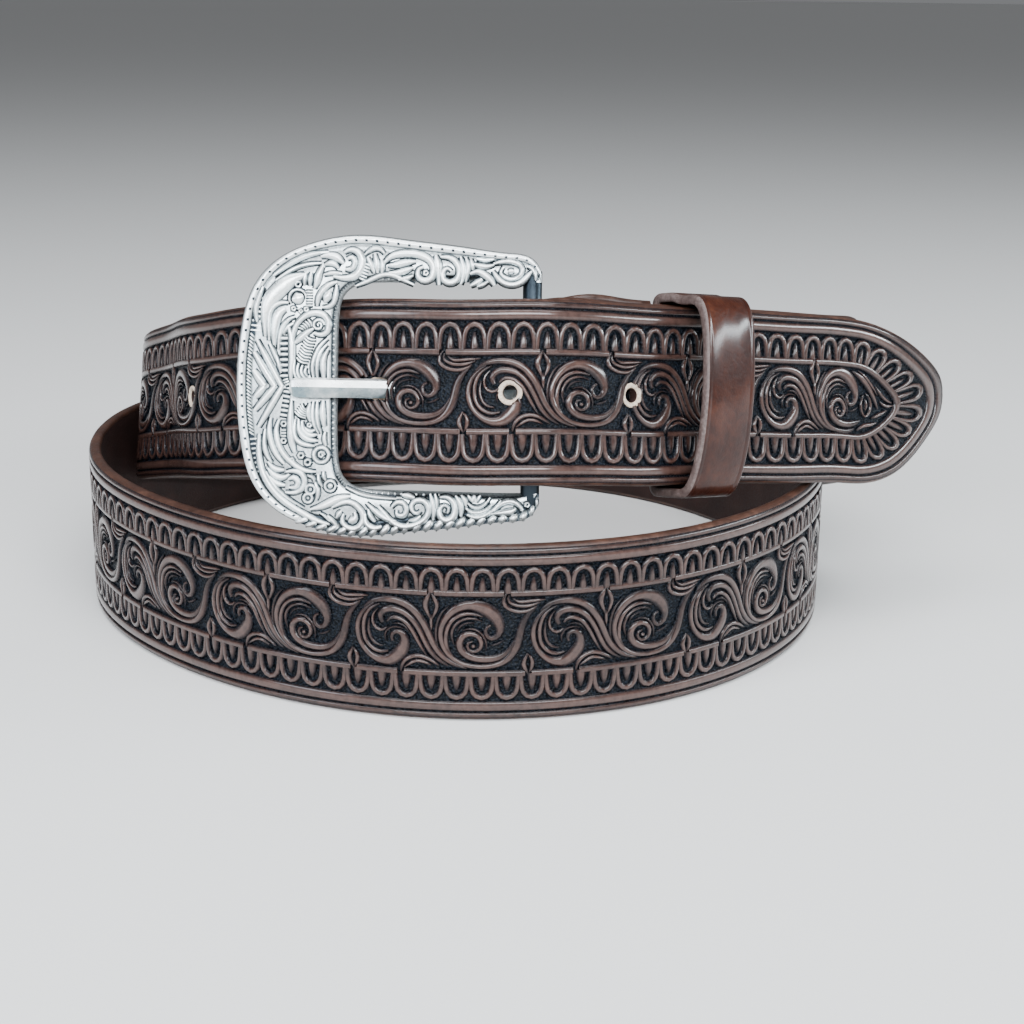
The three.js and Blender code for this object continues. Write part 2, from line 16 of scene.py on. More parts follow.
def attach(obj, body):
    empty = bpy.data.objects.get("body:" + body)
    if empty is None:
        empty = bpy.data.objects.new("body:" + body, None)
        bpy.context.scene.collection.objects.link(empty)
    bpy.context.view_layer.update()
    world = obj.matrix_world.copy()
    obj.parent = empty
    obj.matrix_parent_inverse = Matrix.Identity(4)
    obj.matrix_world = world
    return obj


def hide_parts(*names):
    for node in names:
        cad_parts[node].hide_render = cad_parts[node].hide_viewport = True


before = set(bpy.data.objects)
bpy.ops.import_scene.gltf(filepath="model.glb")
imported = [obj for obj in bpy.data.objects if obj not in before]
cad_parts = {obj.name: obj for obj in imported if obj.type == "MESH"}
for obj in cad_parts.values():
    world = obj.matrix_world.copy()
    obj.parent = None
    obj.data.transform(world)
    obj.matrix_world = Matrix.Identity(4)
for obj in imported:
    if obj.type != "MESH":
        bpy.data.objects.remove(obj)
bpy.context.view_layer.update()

# %% [markdown]
# ## The route of the strap
# The carving is far easier to lay out on a flat strap. So every piece of it is made flat, in millimetres,
# with x as the distance along the strap, y as the width and z as the height of the tooled face. One
# function then bends it all round the same route as the solid strap. The route is a natural cubic spline
# through a short table of places.

# %% The strap's sizes and the table of its route
MM = 0.001
STRAP_WIDTH = 38.1
STRAP_THICKNESS = 3.0
FOLD_THICKNESS = 2.6
FLAP_END_THICKNESS = 1.2
FLAP_TRIM = 4.5
SKIVE_LENGTH = 4
FULL_AFTER_FOLD = 6
LAYER_GAP = 0.4
TIP_LENGTH = 36
MIDDLE = STRAP_WIDTH / 2
TABLE_TRIM = 0.1
STRAP_DROP = 0.3
# From the place where the route was measured to the middle of the base
TO_BASE_MIDDLE = np.array([-13.703239, -7.350983, 0.000555])

BUCKLE_CENTRE = np.array([18.6, -73.6, 66.3])
BUCKLE_LEAN = 13
BAR_RADIUS = 2.0
BAR_CLEARANCE = 0.45

# Turn in degrees, radius, height of the face's bottom edge, lean back and lean to the side
LAP = [
    (-77.4, 88.6, 49.4, 13, 0),
    (-72.5, 88.3, 48.9, 13, 0),
    (-67.3, 87.3, 48.0, 13, 0),
    (-60.5, 86.2, 46.5, 13, 0),
    (-51.6, 84.8, 44.7, 13, 0),
    (-40.6, 87.3, 42.6, 13, 0),
    (-31.1, 92.9, 40.4, 12, 0),
    (-23.6, 98.6, 38.4, 12, 0),
]
FREE_END = [(-15.4, 108.5, 34.9, 12, 0), (-5.8, 119.6, 32.7, 12, 0)]
TURNS = [
    (-12, 99.2, 35.1, 10, 0),
    (0, 100.6, 28.6, 10, 0),
    (20, 101.9, 17.6, 9, 0),
    (45, 104.2, 7.1, 7, 0),
    (70, 105.3, 1.3, 5, 0),
    (95, 104.6, 0, 3, 0),
    (120, 101.4, 0, 1, 0),
    (145, 96.4, 0, 0, 0),
    (163, 94.0, 0, 0, 0),
    (180, 91.0, 0, 0, 0),
    (200, 88.5, 0, 0, 0),
    (225, 87.3, 0, 0, 0),
    (250, 89.6, 0, 0, 0),
    (275, 93.0, 0, 0, 0),
    (300, 94.3, 0, 0, 0),
    (325, 93.3, 0, 0, 0),
    (350, 92.1, 0, 0, 0),
    (375, 93.2, 0, 0, 0),
    (400, 97.0, 0, 0, 0),
    (420, 100.4, 0, 0, 0),
    (437, 101.0, 0, 0, 0),
    (455, 99.3, 1.1, 0, 0),
    (475, 96.2, 4.1, 0, 0),
    (493, 93.2, 8.6, 1, 1),
    (507, 91.4, 13.6, 2, 2),
    (519, 89.8, 18.1, 3, 4),
    (528, 86.2, 21.6, 4, 5),
    (536, 80.4, 25.1, 6, 4),
]
NEAR = [
    (545, 72.7, 28.7, 8, 2),
    (561.3, 68.5, 33.7, 10, 0),
    (573.3, 68.0, 36.9, 11, 0),
    (583, 67.9, 39.6, 12, 0),
    (594, 69.8, 42.3, 13, 0),
    (606, 75.0, 45.1, 13, 0),
    (616, 80.0, 47.4, 13, 0),
    (623, 82.4, 48.3, 13, 0),
    (632, 85.5, 48.9, 13, 0),
]
FOLD_TURNS = [-85, -115, -145, -175, -205, -235, -268]
print("the route goes through", len(LAP + FREE_END + TURNS + NEAR), "measured places")


# %% A natural cubic spline through rows of numbers
def unit(vectors):
    return vectors / np.linalg.norm(vectors, axis=-1, keepdims=True)


class Spline:
    """A smooth line through rows of numbers, measured along the chords of their first columns."""

    def __init__(self, rows, columns=2):
        self.rows = np.array(rows, float)
        chords = np.linalg.norm(np.diff(self.rows[:, :columns], axis=0), axis=1)
        self.at = np.concatenate([[0], np.cumsum(chords)])
        self.length = self.at[-1]
        count = len(self.rows)
        pull = np.eye(count)
        bend = np.zeros_like(self.rows)
        for i in range(1, count - 1):
            before, after = chords[i - 1], chords[i]
            pull[i, i - 1 : i + 2] = before, 2 * (before + after), after
            rise = (self.rows[i + 1] - self.rows[i]) / after
            fall = (self.rows[i] - self.rows[i - 1]) / before
            bend[i] = 6 * (rise - fall)
        self.bends = np.linalg.solve(pull, bend)

    def sample(self, distance):
        """The value and the slope of every column at some distances."""
        distance = np.asarray(distance, float)
        i = np.clip(np.searchsorted(self.at, distance), 1, len(self.at) - 1)
        span = (self.at[i] - self.at[i - 1])[..., None]
        b = (distance - self.at[i - 1])[..., None] / span
        a = 1 - b
        low, high = self.rows[i - 1], self.rows[i]
        from_bend, to_bend = self.bends[i - 1], self.bends[i]
        value = a * low + b * high + ((a**3 - a) * from_bend + (b**3 - b) * to_bend) * span**2 / 6
        slope = (high - low) / span
        slope = slope + ((1 - 3 * a * a) * from_bend + (3 * b * b - 1) * to_bend) * span / 6
        return value, slope


# %% The route, and the function that bends a flat piece round it
def on_table(row):
    turn, radius, height, back, side = row
    angle = math.radians(turn)
    return [radius * math.cos(angle), radius * math.sin(angle), height, back, side]


def behind(rows, distance):
    """A stretch of the route moved inward, for a layer that lies behind it."""
    points = np.array([on_table(row) for row in rows])
    moved = points.copy()
    last = len(points) - 1
    for i in range(len(points)):
        along = unit(points[min(i + 1, last), :2] - points[max(i - 1, 0), :2])
        moved[i, :2] += distance * np.array([-along[1], along[0]])
    return moved


def from_buckle(u, w, v):
    """A place of the buckle: u to the right, w up its lean, v out of its front."""
    lean = math.radians(BUCKLE_LEAN)
    up = np.array([0, math.sin(lean), math.cos(lean)])
    front = np.array([0, -math.cos(lean), math.sin(lean)])
    right = np.array([1.0, 0, 0])
    u, w, v = (np.asarray(part, float)[..., None] for part in (u, w, v))
    return BUCKLE_CENTRE + u * right + w * up + v * front


def fold_rows():
    radius = BAR_RADIUS + BAR_CLEARANCE + FOLD_THICKNESS
    angles = np.radians(FOLD_TURNS)
    bottom = np.full(len(angles), -MIDDLE - STRAP_DROP)
    places = from_buckle(radius * np.cos(angles), bottom, radius * np.sin(angles))
    leans = np.tile([BUCKLE_LEAN, 0], (len(angles), 1))
    return np.hstack([places, leans])


BODY_BEHIND = STRAP_THICKNESS + LAYER_GAP
FLAP_BEHIND = BODY_BEHIND + STRAP_THICKNESS + LAYER_GAP + FOLD_THICKNESS
flap = behind(LAP, FLAP_BEHIND)[2:5][::-1]
body = behind(LAP, BODY_BEHIND)[1:]
rest = [on_table(row) for row in TURNS + NEAR + LAP + FREE_END]
route = Spline(np.vstack([flap, fold_rows(), body, rest]), columns=3)
fold_end = route.at[len(flap) + len(FOLD_TURNS)]
body_start = route.at[len(flap) + len(FOLD_TURNS) + 1]
outer_start = route.at[-len(LAP) - len(FREE_END)]
tip_start = route.length - TIP_LENGTH
print("the strap is", round(float(route.length)), "mm long")


def smooth_step(value, low, high):
    share = np.clip((value - low) / (high - low), 0, 1)
    return share * share * (3 - 2 * share)


def thickness(distance):
    """Thin at the folded end, less than full in the fold, full from a little past it."""
    skive = np.clip((distance - FLAP_TRIM) / SKIVE_LENGTH, 0, 1)
    folded = FLAP_END_THICKNESS + (FOLD_THICKNESS - FLAP_END_THICKNESS) * skive
    full = smooth_step(distance, fold_end, body_start + FULL_AFTER_FOLD)
    return folded + (STRAP_THICKNESS - FOLD_THICKNESS) * full


def route_frame(distance):
    """The place, and the directions along, up the width and out of the face."""
    value, slope = route.sample(distance)
    place = value[..., :3].copy()
    place[..., 2] = np.maximum(0, place[..., 2] - TABLE_TRIM)
    along = unit(slope[..., :3])
    back, side = np.radians(value[..., 3]), np.radians(value[..., 4])
    up = unit(np.stack([np.tan(side), np.tan(back), np.ones_like(back)], -1))
    out = unit(np.cross(along, up))
    return place + TO_BASE_MIDDLE, along, up, out


TIP_RISE = 0.7


def bend(flat):
    """Flat millimetres to metres in the frame of the belt. The free tip curls up a little."""
    place, _, up, out = route_frame(flat[:, 0])
    place = place + up * (TIP_RISE * smooth_step(flat[:, 0], tip_start, route.length))[:, None]
    height = flat[:, 2] * np.where(flat[:, 2] < 0, thickness(flat[:, 0]) / STRAP_THICKNESS, 1)
    return (place + up * flat[:, 1:2] + out * height[:, None]) * MM


# %% [markdown]
# ## Finishes
# Shader sums are written as plain expressions. One small class wraps a socket, and every sum or product
# adds its Math node. All other nodes come from one method of the finish.

# %% A socket that can be added and multiplied, and the finish that it belongs to
class Tone:
    def __init__(self, finish, socket):
        self.finish = finish
        self.socket = socket

    def math(self, operation, *values):
        settings = {"operation": operation}
        return self.finish.node("ShaderNodeMath", settings, dict(enumerate(values)))

    def __add__(self, other):
        return self.math("ADD", self, other)

    def __sub__(self, other):
        return self.math("SUBTRACT", self, other)

    def __rsub__(self, other):
        return self.math("SUBTRACT", other, self)

    def __mul__(self, other):
        return self.math("MULTIPLY", self, other)

    __radd__ = __add__
    __rmul__ = __mul__


class Finish:
    """A material, its shader and the nodes that feed it."""

    def __init__(self, name, **constants):
        self.material = bpy.data.materials.new(name)
        self.material.use_nodes = True
        self.tree = self.material.node_tree
        self.shader = self.tree.nodes["Principled BSDF"]
        for socket, value in constants.items():
            self.shader.inputs[socket.replace("_", " ")].default_value = value

    def node(self, kind, settings=None, inputs=None, output=0):
        made = self.tree.nodes.new(kind)
        for name, value in (settings or {}).items():
            if name == "stops":
                elements = made.color_ramp.elements
                while len(elements) < len(value):
                    elements.new(1.0)
                for element, (position, colour) in zip(elements, value):
                    element.position = position
                    element.color = (*colour, 1)
            else:
                setattr(made, name, value)
        for name, value in (inputs or {}).items():
            self.feed(made.inputs[name], value)
        return Tone(self, made.outputs[output])

    def feed(self, socket, value):
        if isinstance(value, Tone):
            self.tree.links.new(value.socket, socket)
        elif isinstance(value, tuple) and len(value) == 3 and socket.type == "RGBA":
            socket.default_value = (*value, 1)
        else:
            socket.default_value = value

    def set(self, socket, value):
        self.feed(self.shader.inputs[socket], value)

    def place(self):
        return self.node("ShaderNodeTexCoord", output="Object")

    def attribute(self, name):
        return self.node("ShaderNodeAttribute", {"attribute_name": name}, output="Fac")

    def noise(self, size, detail, roughness=0.55):
        """Noise whose features are about this many millimetres across."""
        inputs = {"Scale": 1 / (size * MM), "Detail": detail, "Roughness": roughness}
        inputs["Vector"] = self.place()
        return self.node("ShaderNodeTexNoise", None, inputs)

    def cells(self, size):
        """Small cells of about this many millimetres, by the distance from each one's middle."""
        inputs = {"Scale": 1 / (size * MM), "Vector": self.place()}
        return self.node("ShaderNodeTexVoronoi", None, inputs)

    def ramp(self, value, *stops):
        return self.node("ShaderNodeValToRGB", {"stops": stops}, {0: value})

    def between(self, value, low, high, to_low=0.0, to_high=1.0):
        inputs = {0: value, 1: low, 2: high, 3: to_low, 4: to_high}
        return self.node("ShaderNodeMapRange", None, inputs)

    def mix(self, factor, first, second):
        inputs = {0: factor, 6: first, 7: second}
        return self.node("ShaderNodeMix", {"data_type": "RGBA"}, inputs, output=2)

    def bump(self, height, strength, distance, normal=None):
        inputs = {"Height": height, "Strength": strength, "Distance": distance * MM}
        if normal:
            inputs["Normal"] = normal
        return self.node("ShaderNodeBump", None, inputs)


# %% The carved leather: antique black in the ground, red-brown on the high spots
def carved_leather():
    finish = Finish("carved_leather", Specular_IOR_Level=0.1, Coat_Roughness=0.17)
    relief = finish.attribute("relief")
    patches = finish.noise(14, 3)
    mottle = finish.noise(1.3, 4, 0.65)
    specks = finish.noise(0.35, 3, 0.7)
    pits = finish.cells(0.62)
    high = finish.ramp(
        patches * 0.6 + mottle * 0.4,
        (0.30, (0.007, 0.0023, 0.0016)),
        (0.45, (0.015, 0.0050, 0.0033)),
        (0.58, (0.027, 0.0095, 0.0060)),
        (0.74, (0.046, 0.0180, 0.0115)),
    )
    # Lighter on the highest spots: partly wear, partly a painted highlight for the sheen of the light on them
    wear_and_sheen = finish.between(relief + mottle * 0.5 - 0.25, 0.75, 1.05)
    high = finish.mix(wear_and_sheen * 0.4, high, (0.125, 0.072, 0.060))
    # The bluish dots in the near-black ground are painted glints of light on the stipple
    stipple_glint = finish.between(pits, 0.1, 0.5) * finish.between(specks, 0.4, 0.62)
    ground = finish.mix(stipple_glint, (0.0005, 0.0006, 0.0009), (0.009, 0.013, 0.020))
    top = finish.between(relief + specks * 0.35 - 0.17, 0.42, 0.92)
    finish.set("Base Color", finish.mix(top, ground, high))
    finish.set("Roughness", finish.between(specks * 0.5 + mottle * 0.5, 0.3, 0.7, 0.3, 0.5))
    finish.set("Coat Weight", finish.between(relief, 0.55, 0.95, 0.0, 1.0))
    fine = finish.bump(specks * 0.6 + mottle * 0.8, 0.35, 0.12)
    finish.set("Normal", finish.bump(pits * (1 - top), 0.9, 0.35, fine))
    return finish.material


def fibrous_leather(name, specular, fibre, patches, rough, bump, stops):
    """Plain leather, coloured by a fine fibre and by broad patches: the size and the share of them."""
    size, share = patches
    finish = Finish(name, Specular_IOR_Level=specular)
    fine = finish.noise(*fibre)
    finish.set("Base Color", finish.ramp(fine * (1 - share) + finish.noise(size, 3) * share, *stops))
    finish.set("Roughness", finish.between(fine, 0.3, 0.7, *rough))
    finish.set("Normal", finish.bump(fine, *bump))
    return finish.material


CARVED = carved_leather()
FLESH = fibrous_leather(
    "flesh_side",
    specular=0.3,
    fibre=(0.5, 4, 0.7),
    patches=(9, 0.5),
    rough=(0.55, 0.8),
    bump=(0.5, 0.2),
    stops=[(0.30, (0.012, 0.005, 0.004)), (0.55, (0.026, 0.010, 0.008)), (0.75, (0.050, 0.020, 0.014))],
)
EDGE = fibrous_leather(
    "burnished_edge",
    specular=0.5,
    fibre=(1.1, 4, 0.65),
    patches=(7, 0.5),
    rough=(0.32, 0.55),
    bump=(0.4, 0.15),
    stops=[(0.32, (0.014, 0.005, 0.003)), (0.52, (0.042, 0.0165, 0.010)), (0.72, (0.095, 0.042, 0.026))],
)
RAW = fibrous_leather(
    "raw_hole_edge",
    specular=0.3,
    fibre=(0.4, 4, 0.7),
    patches=(4, 0),
    rough=(0.6, 0.85),
    bump=(0.6, 0.2),
    stops=[(0.3, (0.33, 0.24, 0.17)), (0.7, (0.74, 0.62, 0.50))],
)
print("made", len(bpy.data.materials), "finishes so far")

# %% [markdown]
# ## The strap
# The strap is a long grid: one row of points across for every station along the route. The row is the
# strap's own section, with its edge beads, so the beads run the whole length. At the free end the rows
# turn round the tip, each at its own distance from the outline.

# %% The rails that every line of the pattern follows
TIP_REACH = 5.4
TIP_POINT = 0.84
TIP_ROUNDING = 0.34
TIP_POINT_GAIN = 0.015
# How far each line lies behind the tip's end, by its offset from the outline
TIP_INSET = [(0, 0), (1.9, 6.2), (2.4, 7.2), (4.4, 11.4), (10.6, 25.6), (19.05, 40.2)]
TIP_ARC = 28.0
rail_length = tip_start + TIP_ARC


def rail_at_angle(angle, offset):
    """A place past the start of the tip, by its angle round it and its offset from the outline."""
    length = TIP_LENGTH + TIP_REACH - np.interp(offset, *np.transpose(TIP_INSET))
    power = 2 * (TIP_POINT - TIP_ROUNDING * np.sin(angle) ** 4 + TIP_POINT_GAIN * offset)
    x = tip_start + length * np.sin(angle)
    y = MIDDLE + (MIDDLE - offset) * np.cos(angle).clip(0) ** power
    return x, y


# The angle is shared out so that the arches stay evenly spaced round the tip
ARCH_OFFSET = 6.5
tip_angles = np.linspace(0, math.pi / 2, 200)
tip_x, tip_y = rail_at_angle(tip_angles, ARCH_OFFSET)
tip_run = np.concatenate([[0], np.cumsum(np.hypot(np.diff(tip_x), np.diff(tip_y)))])
print("the middle of the arches runs", round(float(tip_run[-1]), 1), "mm round half of the tip")


def rail(distance, offset):
    """A place on the upper half of the flat strap, by its distance and its offset from the outline."""
    distance, offset = np.broadcast_arrays(np.asarray(distance, float), np.asarray(offset, float))
    share = np.clip((distance - tip_start) / TIP_ARC, 0, 1)
    angle = np.interp(share * tip_run[-1], tip_run, tip_angles)
    x, y = rail_at_angle(angle, offset)
    return np.where(distance < tip_start, distance, x), y


# %% Stations along the strap, closer together where it bends
STATION_TURN = 0.11
NEAREST, FURTHEST = 0.8, 2.4
LAST_STEP = 1.2
TIP_STATIONS = 36


def stations():
    """Distances that turn by the same angle each, no nearer or further apart than the two limits."""
    at = [FLAP_TRIM]
    while at[-1] < tip_start - LAST_STEP:
        _, near, _, _ = route_frame(np.array([at[-1] - 1, at[-1] + 1]))
        turn = math.acos(min(1.0, float(near[0] @ near[1])))
        at.append(at[-1] + min(max(STATION_TURN / max(turn / 2, 1e-4), NEAREST), FURTHEST))
    at[-1] = tip_start
    tip = [tip_start + TIP_ARC * i / TIP_STATIONS for i in range(1, TIP_STATIONS + 1)]
    return np.array(at + tip)


station_list = stations()
print("the strap has", len(station_list), "stations")

# %% The strap's section from the carved ground over the beads and the edge to the flesh side
GROUND = -0.85
SECTION = [
    (11.9, GROUND, "face"),
    (8.0, GROUND, "face"),
    (4.75, GROUND, "face"),
    (4.42, -0.66, "face"),
    (4.28, -0.30, "face"),
    (3.95, -0.08, "face"),
    (3.35, 0.0, "face"),
    (2.65, -0.04, "face"),
    (2.28, -0.24, "face"),
    (2.12, -0.62, "face"),
    (1.92, -0.62, "face"),
    (1.78, -0.24, "face"),
    (1.5, -0.08, "face"),
    (1.05, -0.14, "face"),
    (0.6, -0.42, "edge"),
    (0.22, -0.85, "edge"),
    (0.02, -1.4, "edge"),
    (0.0, -2.0, "edge"),
    (0.1, -2.45, "edge"),
    (0.45, -2.85, "edge"),
    (1.1, -3.0, "flesh"),
    (4.0, -3.0, "flesh"),
]
LOOKS = {"face": 0, "edge": 1, "flesh": 2}
MIDDLE_COLUMNS = 7
print("the section of one border has", len(SECTION), "points")


# %% Small helpers for meshes
def mesh_of(name, bm, materials=()):
    """A mesh with its material slots, in place of the bmesh."""
    mesh = bpy.data.meshes.new(name)
    bm.to_mesh(mesh)
    bm.free()
    for material in materials:
        mesh.materials.append(material)
    return mesh


def placed(name, data):
    """A new object in the scene."""
    made = bpy.data.objects.new(name, data)
    bpy.context.scene.collection.objects.link(made)
    return made


def fill_open(bm):
    """Closes every open border with one face."""
    bmesh.ops.holes_fill(bm, edges=[edge for edge in bm.edges if edge.is_boundary], sides=0)


def closed(bm, weld=1e-4):
    """Welds what meets, fills what is open and turns the faces one way."""
    bmesh.ops.remove_doubles(bm, verts=bm.verts, dist=weld)
    fill_open(bm)
    bmesh.ops.recalc_face_normals(bm, faces=bm.faces)
    return bm


def cylinder(bm, segments, radius=1, depth=1, matrix=Matrix()):
    """A capped cylinder, given as its vertices."""
    made = bmesh.ops.create_cone(
        bm, cap_ends=True, segments=segments, radius1=radius, radius2=radius, depth=depth, matrix=matrix
    )
    return made["verts"]


def ring_of(bm, profile, centre, axis, steps):
    """A closed profile, spun once round an axis."""
    verts = [bm.verts.new(place) for place in profile]
    geom = verts + [bm.edges.new((verts[i - 1], verts[i])) for i in range(len(verts))]
    bmesh.ops.spin(bm, geom=geom, cent=centre, axis=axis, angle=math.tau, steps=steps, use_merge=True)


def bar_of_rings(bm, sides, rings):
    """A capped bar along z, from -0.5 to 0.5, with a flat side below, cut into rings."""
    verts = cylinder(bm, sides, matrix=Matrix.Rotation(math.pi / sides, 4, "Z"))
    edges = {edge for v in verts for edge in v.link_edges}
    long_edges = [e for e in edges if abs(e.verts[0].co.z - e.verts[1].co.z) > 0.5]
    bmesh.ops.subdivide_edges(bm, edges=long_edges, cuts=rings - 1)


# %% The strap as one mesh
def grid(rows, columns):
    """A grid whose vertices carry their own row and column numbers as x and y."""
    bm = bmesh.new()
    matrix = Matrix.Translation(((rows - 1) / 2, (columns - 1) / 2, 0))
    matrix = matrix @ Matrix.Diagonal(((rows - 1) / 2, (columns - 1) / 2, 1, 1))
    bmesh.ops.create_grid(bm, x_segments=rows - 1, y_segments=columns - 1, size=1, matrix=matrix)
    return bm


def strap_border():
    """Both edges of the strap as one long U that turns round the tip."""
    count = len(station_list)
    bm = grid(2 * count - 1, len(SECTION))
    for face in bm.faces:
        column = min(round(v.co.y) for v in face.verts)
        face.material_index = LOOKS[SECTION[column][2]]
    for v in bm.verts:
        row, column = round(v.co.x), round(v.co.y)
        offset, height, _ = SECTION[column]
        upper = row >= count
        station = station_list[2 * count - 2 - row if upper else row]
        x, y = rail(station, offset)
        v.co = (float(x), float(y if upper else STRAP_WIDTH - y), height)
    return bm


def strap_middle(column, look):
    """The band between the two borders, on the face or on the flesh side."""
    offset, height, _ = SECTION[column]
    bm = grid(len(station_list), MIDDLE_COLUMNS)
    for face in bm.faces:
        face.material_index = LOOKS[look]
    for v in bm.verts:
        x, y = rail(station_list[round(v.co.x)], offset)
        share = v.co.y / (MIDDLE_COLUMNS - 1)
        v.co = (float(x), float(MIDDLE + (y - MIDDLE) * (2 * share - 1)), height)
    return bm


def join(*parts):
    """Several bmeshes as one."""
    whole = bmesh.new()
    for part in parts:
        mesh = mesh_of("part", part)
        whole.from_mesh(mesh)
        bpy.data.meshes.remove(mesh)
    return whole


strap_bm = closed(join(strap_border(), strap_middle(0, "face"), strap_middle(-1, "flesh")), weld=1e-3)
print("the strap has", len(strap_bm.faces), "faces, open edges", sum(e.is_boundary for e in strap_bm.edges))


# %% From a flat bmesh to a finished piece
LEATHER_RELIEF = ((GROUND, 0.0), (0.0, 1.0))
SHARP_FROM = 62


def face_outwards(mesh):
    """Turns the faces round where the piece was mirrored on its way into place."""
    bm = bmesh.new()
    bm.from_mesh(mesh)
    if bm.calc_volume(signed=True) < 0:
        mesh.flip_normals()
    bm.free()


def finished(name, bm, materials, shape, replaced=(), relief_table=LEATHER_RELIEF, sharp=SHARP_FROM):
    """Makes the piece, notes how far each vertex stands out and puts it in its place."""
    mesh = mesh_of(name, bm, materials)
    flat = np.empty(3 * len(mesh.vertices))
    mesh.vertices.foreach_get("co", flat)
    flat = flat.reshape(-1, 3)
    heights, values = zip(*relief_table)
    relief = mesh.attributes.new("relief", "FLOAT", "POINT")
    relief.data.foreach_set("value", np.interp(flat[:, 2], heights, values).astype(np.float32))
    mesh.vertices.foreach_set("co", shape(flat).ravel())
    face_outwards(mesh)
    mesh.shade_smooth()
    mesh.set_sharp_from_angle(angle=math.radians(sharp))
    mesh.update()
    piece = placed(name, mesh)
    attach(piece, "root")
    if replaced:
        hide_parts(*replaced)
    print(name, "has", sum(len(p.vertices) - 2 for p in mesh.polygons), "triangles")


STRAP_LOOKS = [CARVED, EDGE, FLESH, RAW]

# %% [markdown]
# ## Holes
# The free end is punched for the prong. A hole is cut with a boolean while the strap is still flat, so a
# plain upright cylinder is the right cutter. The middle hole is a slit with round ends, slanted like the
# prong that goes through it. The fold round the heel bar has a slot that leaves room for the prong's eye.

# %% Cutters for the holes, the slanted slit and the slot
RIM_RADIUS = 2.3
HOLE_SIDES = 28
SLIT_SIDES = 24
CUT_DEPTH = 5
PAST_FACE = 0.01
PRONG_HOLE_AT = -30
SEARCH_BACK, SEARCH_STEP = 60, 0.2
search = np.arange(outer_start - SEARCH_BACK, outer_start, SEARCH_STEP)
beside = route.sample(search)[0][:, 0] - BUCKLE_CENTRE[0] - PRONG_HOLE_AT
middle_hole = float(search[np.abs(beside).argmin()])
# Along the strap from the prong's hole to the others
HOLES_FROM_PRONG = (-72.6, -36.3, 26.3, 54.5)
hole_list = [middle_hole + reach for reach in HOLES_FROM_PRONG]

# Both ends of the slit on the tooled face and on the flesh side
SLIT_TOP = (-6.0, -0.1)
SLIT_UNDER = (-1.8, 6.3)
SLIT_WIDTH = 4.7
SLIT_ROUNDING = 2.0
SLIT_RISE = 0.4
SLOT_WIDTH = 5.2
PAST_FOLD = 2.5
slot_ends = (route.at[len(flap)] - PAST_FOLD, fold_end + PAST_FOLD)


def cutters():
    bm = bmesh.new()
    for at in hole_list:
        place = Matrix.Translation((at, MIDDLE, -STRAP_THICKNESS / 2))
        cylinder(bm, HOLE_SIDES, RIM_RADIUS, CUT_DEPTH, place)
    for v in cylinder(bm, SLIT_SIDES):
        top, right = v.co.z > 0, int(v.co.x > 0)
        inset = (1 - abs(v.co.x)) * SLIT_ROUNDING
        reach = (SLIT_TOP if top else SLIT_UNDER)[right] + (-inset if right else inset)
        across = MIDDLE + SLIT_RISE + v.co.y * SLIT_WIDTH / 2
        v.co = (middle_hole + reach, across, PAST_FACE if top else -STRAP_THICKNESS - PAST_FACE)
    start, end = slot_ends
    slot = Matrix.Translation(((start + end) / 2, MIDDLE + STRAP_DROP, -STRAP_THICKNESS / 2))
    slot = slot @ Matrix.Diagonal((end - start, SLOT_WIDTH, CUT_DEPTH, 1))
    bmesh.ops.create_cube(bm, size=1, matrix=slot)
    for face in bm.faces:
        face.material_index = STRAP_LOOKS.index(RAW)
    return bm


def cut(bm, cutter_bm):
    """The flat strap less the cutters."""
    blank = placed("blank", mesh_of("blank", bm, STRAP_LOOKS))
    cutter = placed("cutter", mesh_of("cutter", cutter_bm, STRAP_LOOKS))
    boolean = blank.modifiers.new("cut", "BOOLEAN")
    boolean.operation = "DIFFERENCE"
    boolean.solver = "EXACT"
    boolean.object = cutter
    boolean.use_self = False
    mesh = bpy.data.meshes.new_from_object(blank.evaluated_get(bpy.context.evaluated_depsgraph_get()))
    result = bmesh.new()
    result.from_mesh(mesh)
    for item in (blank, cutter):
        bpy.data.meshes.remove(item.data)
    bpy.data.meshes.remove(mesh)
    return result


strap_bm = cut(strap_bm, cutters())
print("after the cuts the strap has", len(strap_bm.faces), "faces")
finished("strap_leather", strap_bm, STRAP_LOOKS, bend, ("strap",))

# %% The rim of each punched hole: pale where the punch broke the surface, dark inside
LINING = [
    # radius, height
    (1.5, -2.95), (1.5, -1.4), (1.55, -0.75), (1.8, -0.42), (2.2, -0.28), (2.5, -0.3), (2.62, -0.55),
    (2.62, -2.95),
]
PALE_FROM = -0.7


def hole_linings():
    bm = bmesh.new()
    for at in hole_list:
        profile = [(at + radius, MIDDLE, height) for radius, height in LINING]
        ring_of(bm, profile, (at, MIDDLE, 0), (0, 0, 1), HOLE_SIDES)
    for face in closed(bm).faces:
        face.material_index = int(face.calc_center_median().z < PALE_FROM)
    return bm


finished("hole_linings", hole_linings(), [RAW, FLESH], bend)

# %% [markdown]
# ## Strokes of the carving
# Each raised line of the carving is a stroke: a closed tube with a flat underside that is sunk a little
# into the ground. It starts as a capped cylinder, is cut into rings, and its rings are then laid along
# a spline.

# %% A raised stroke along a line
SUNK = 0.15


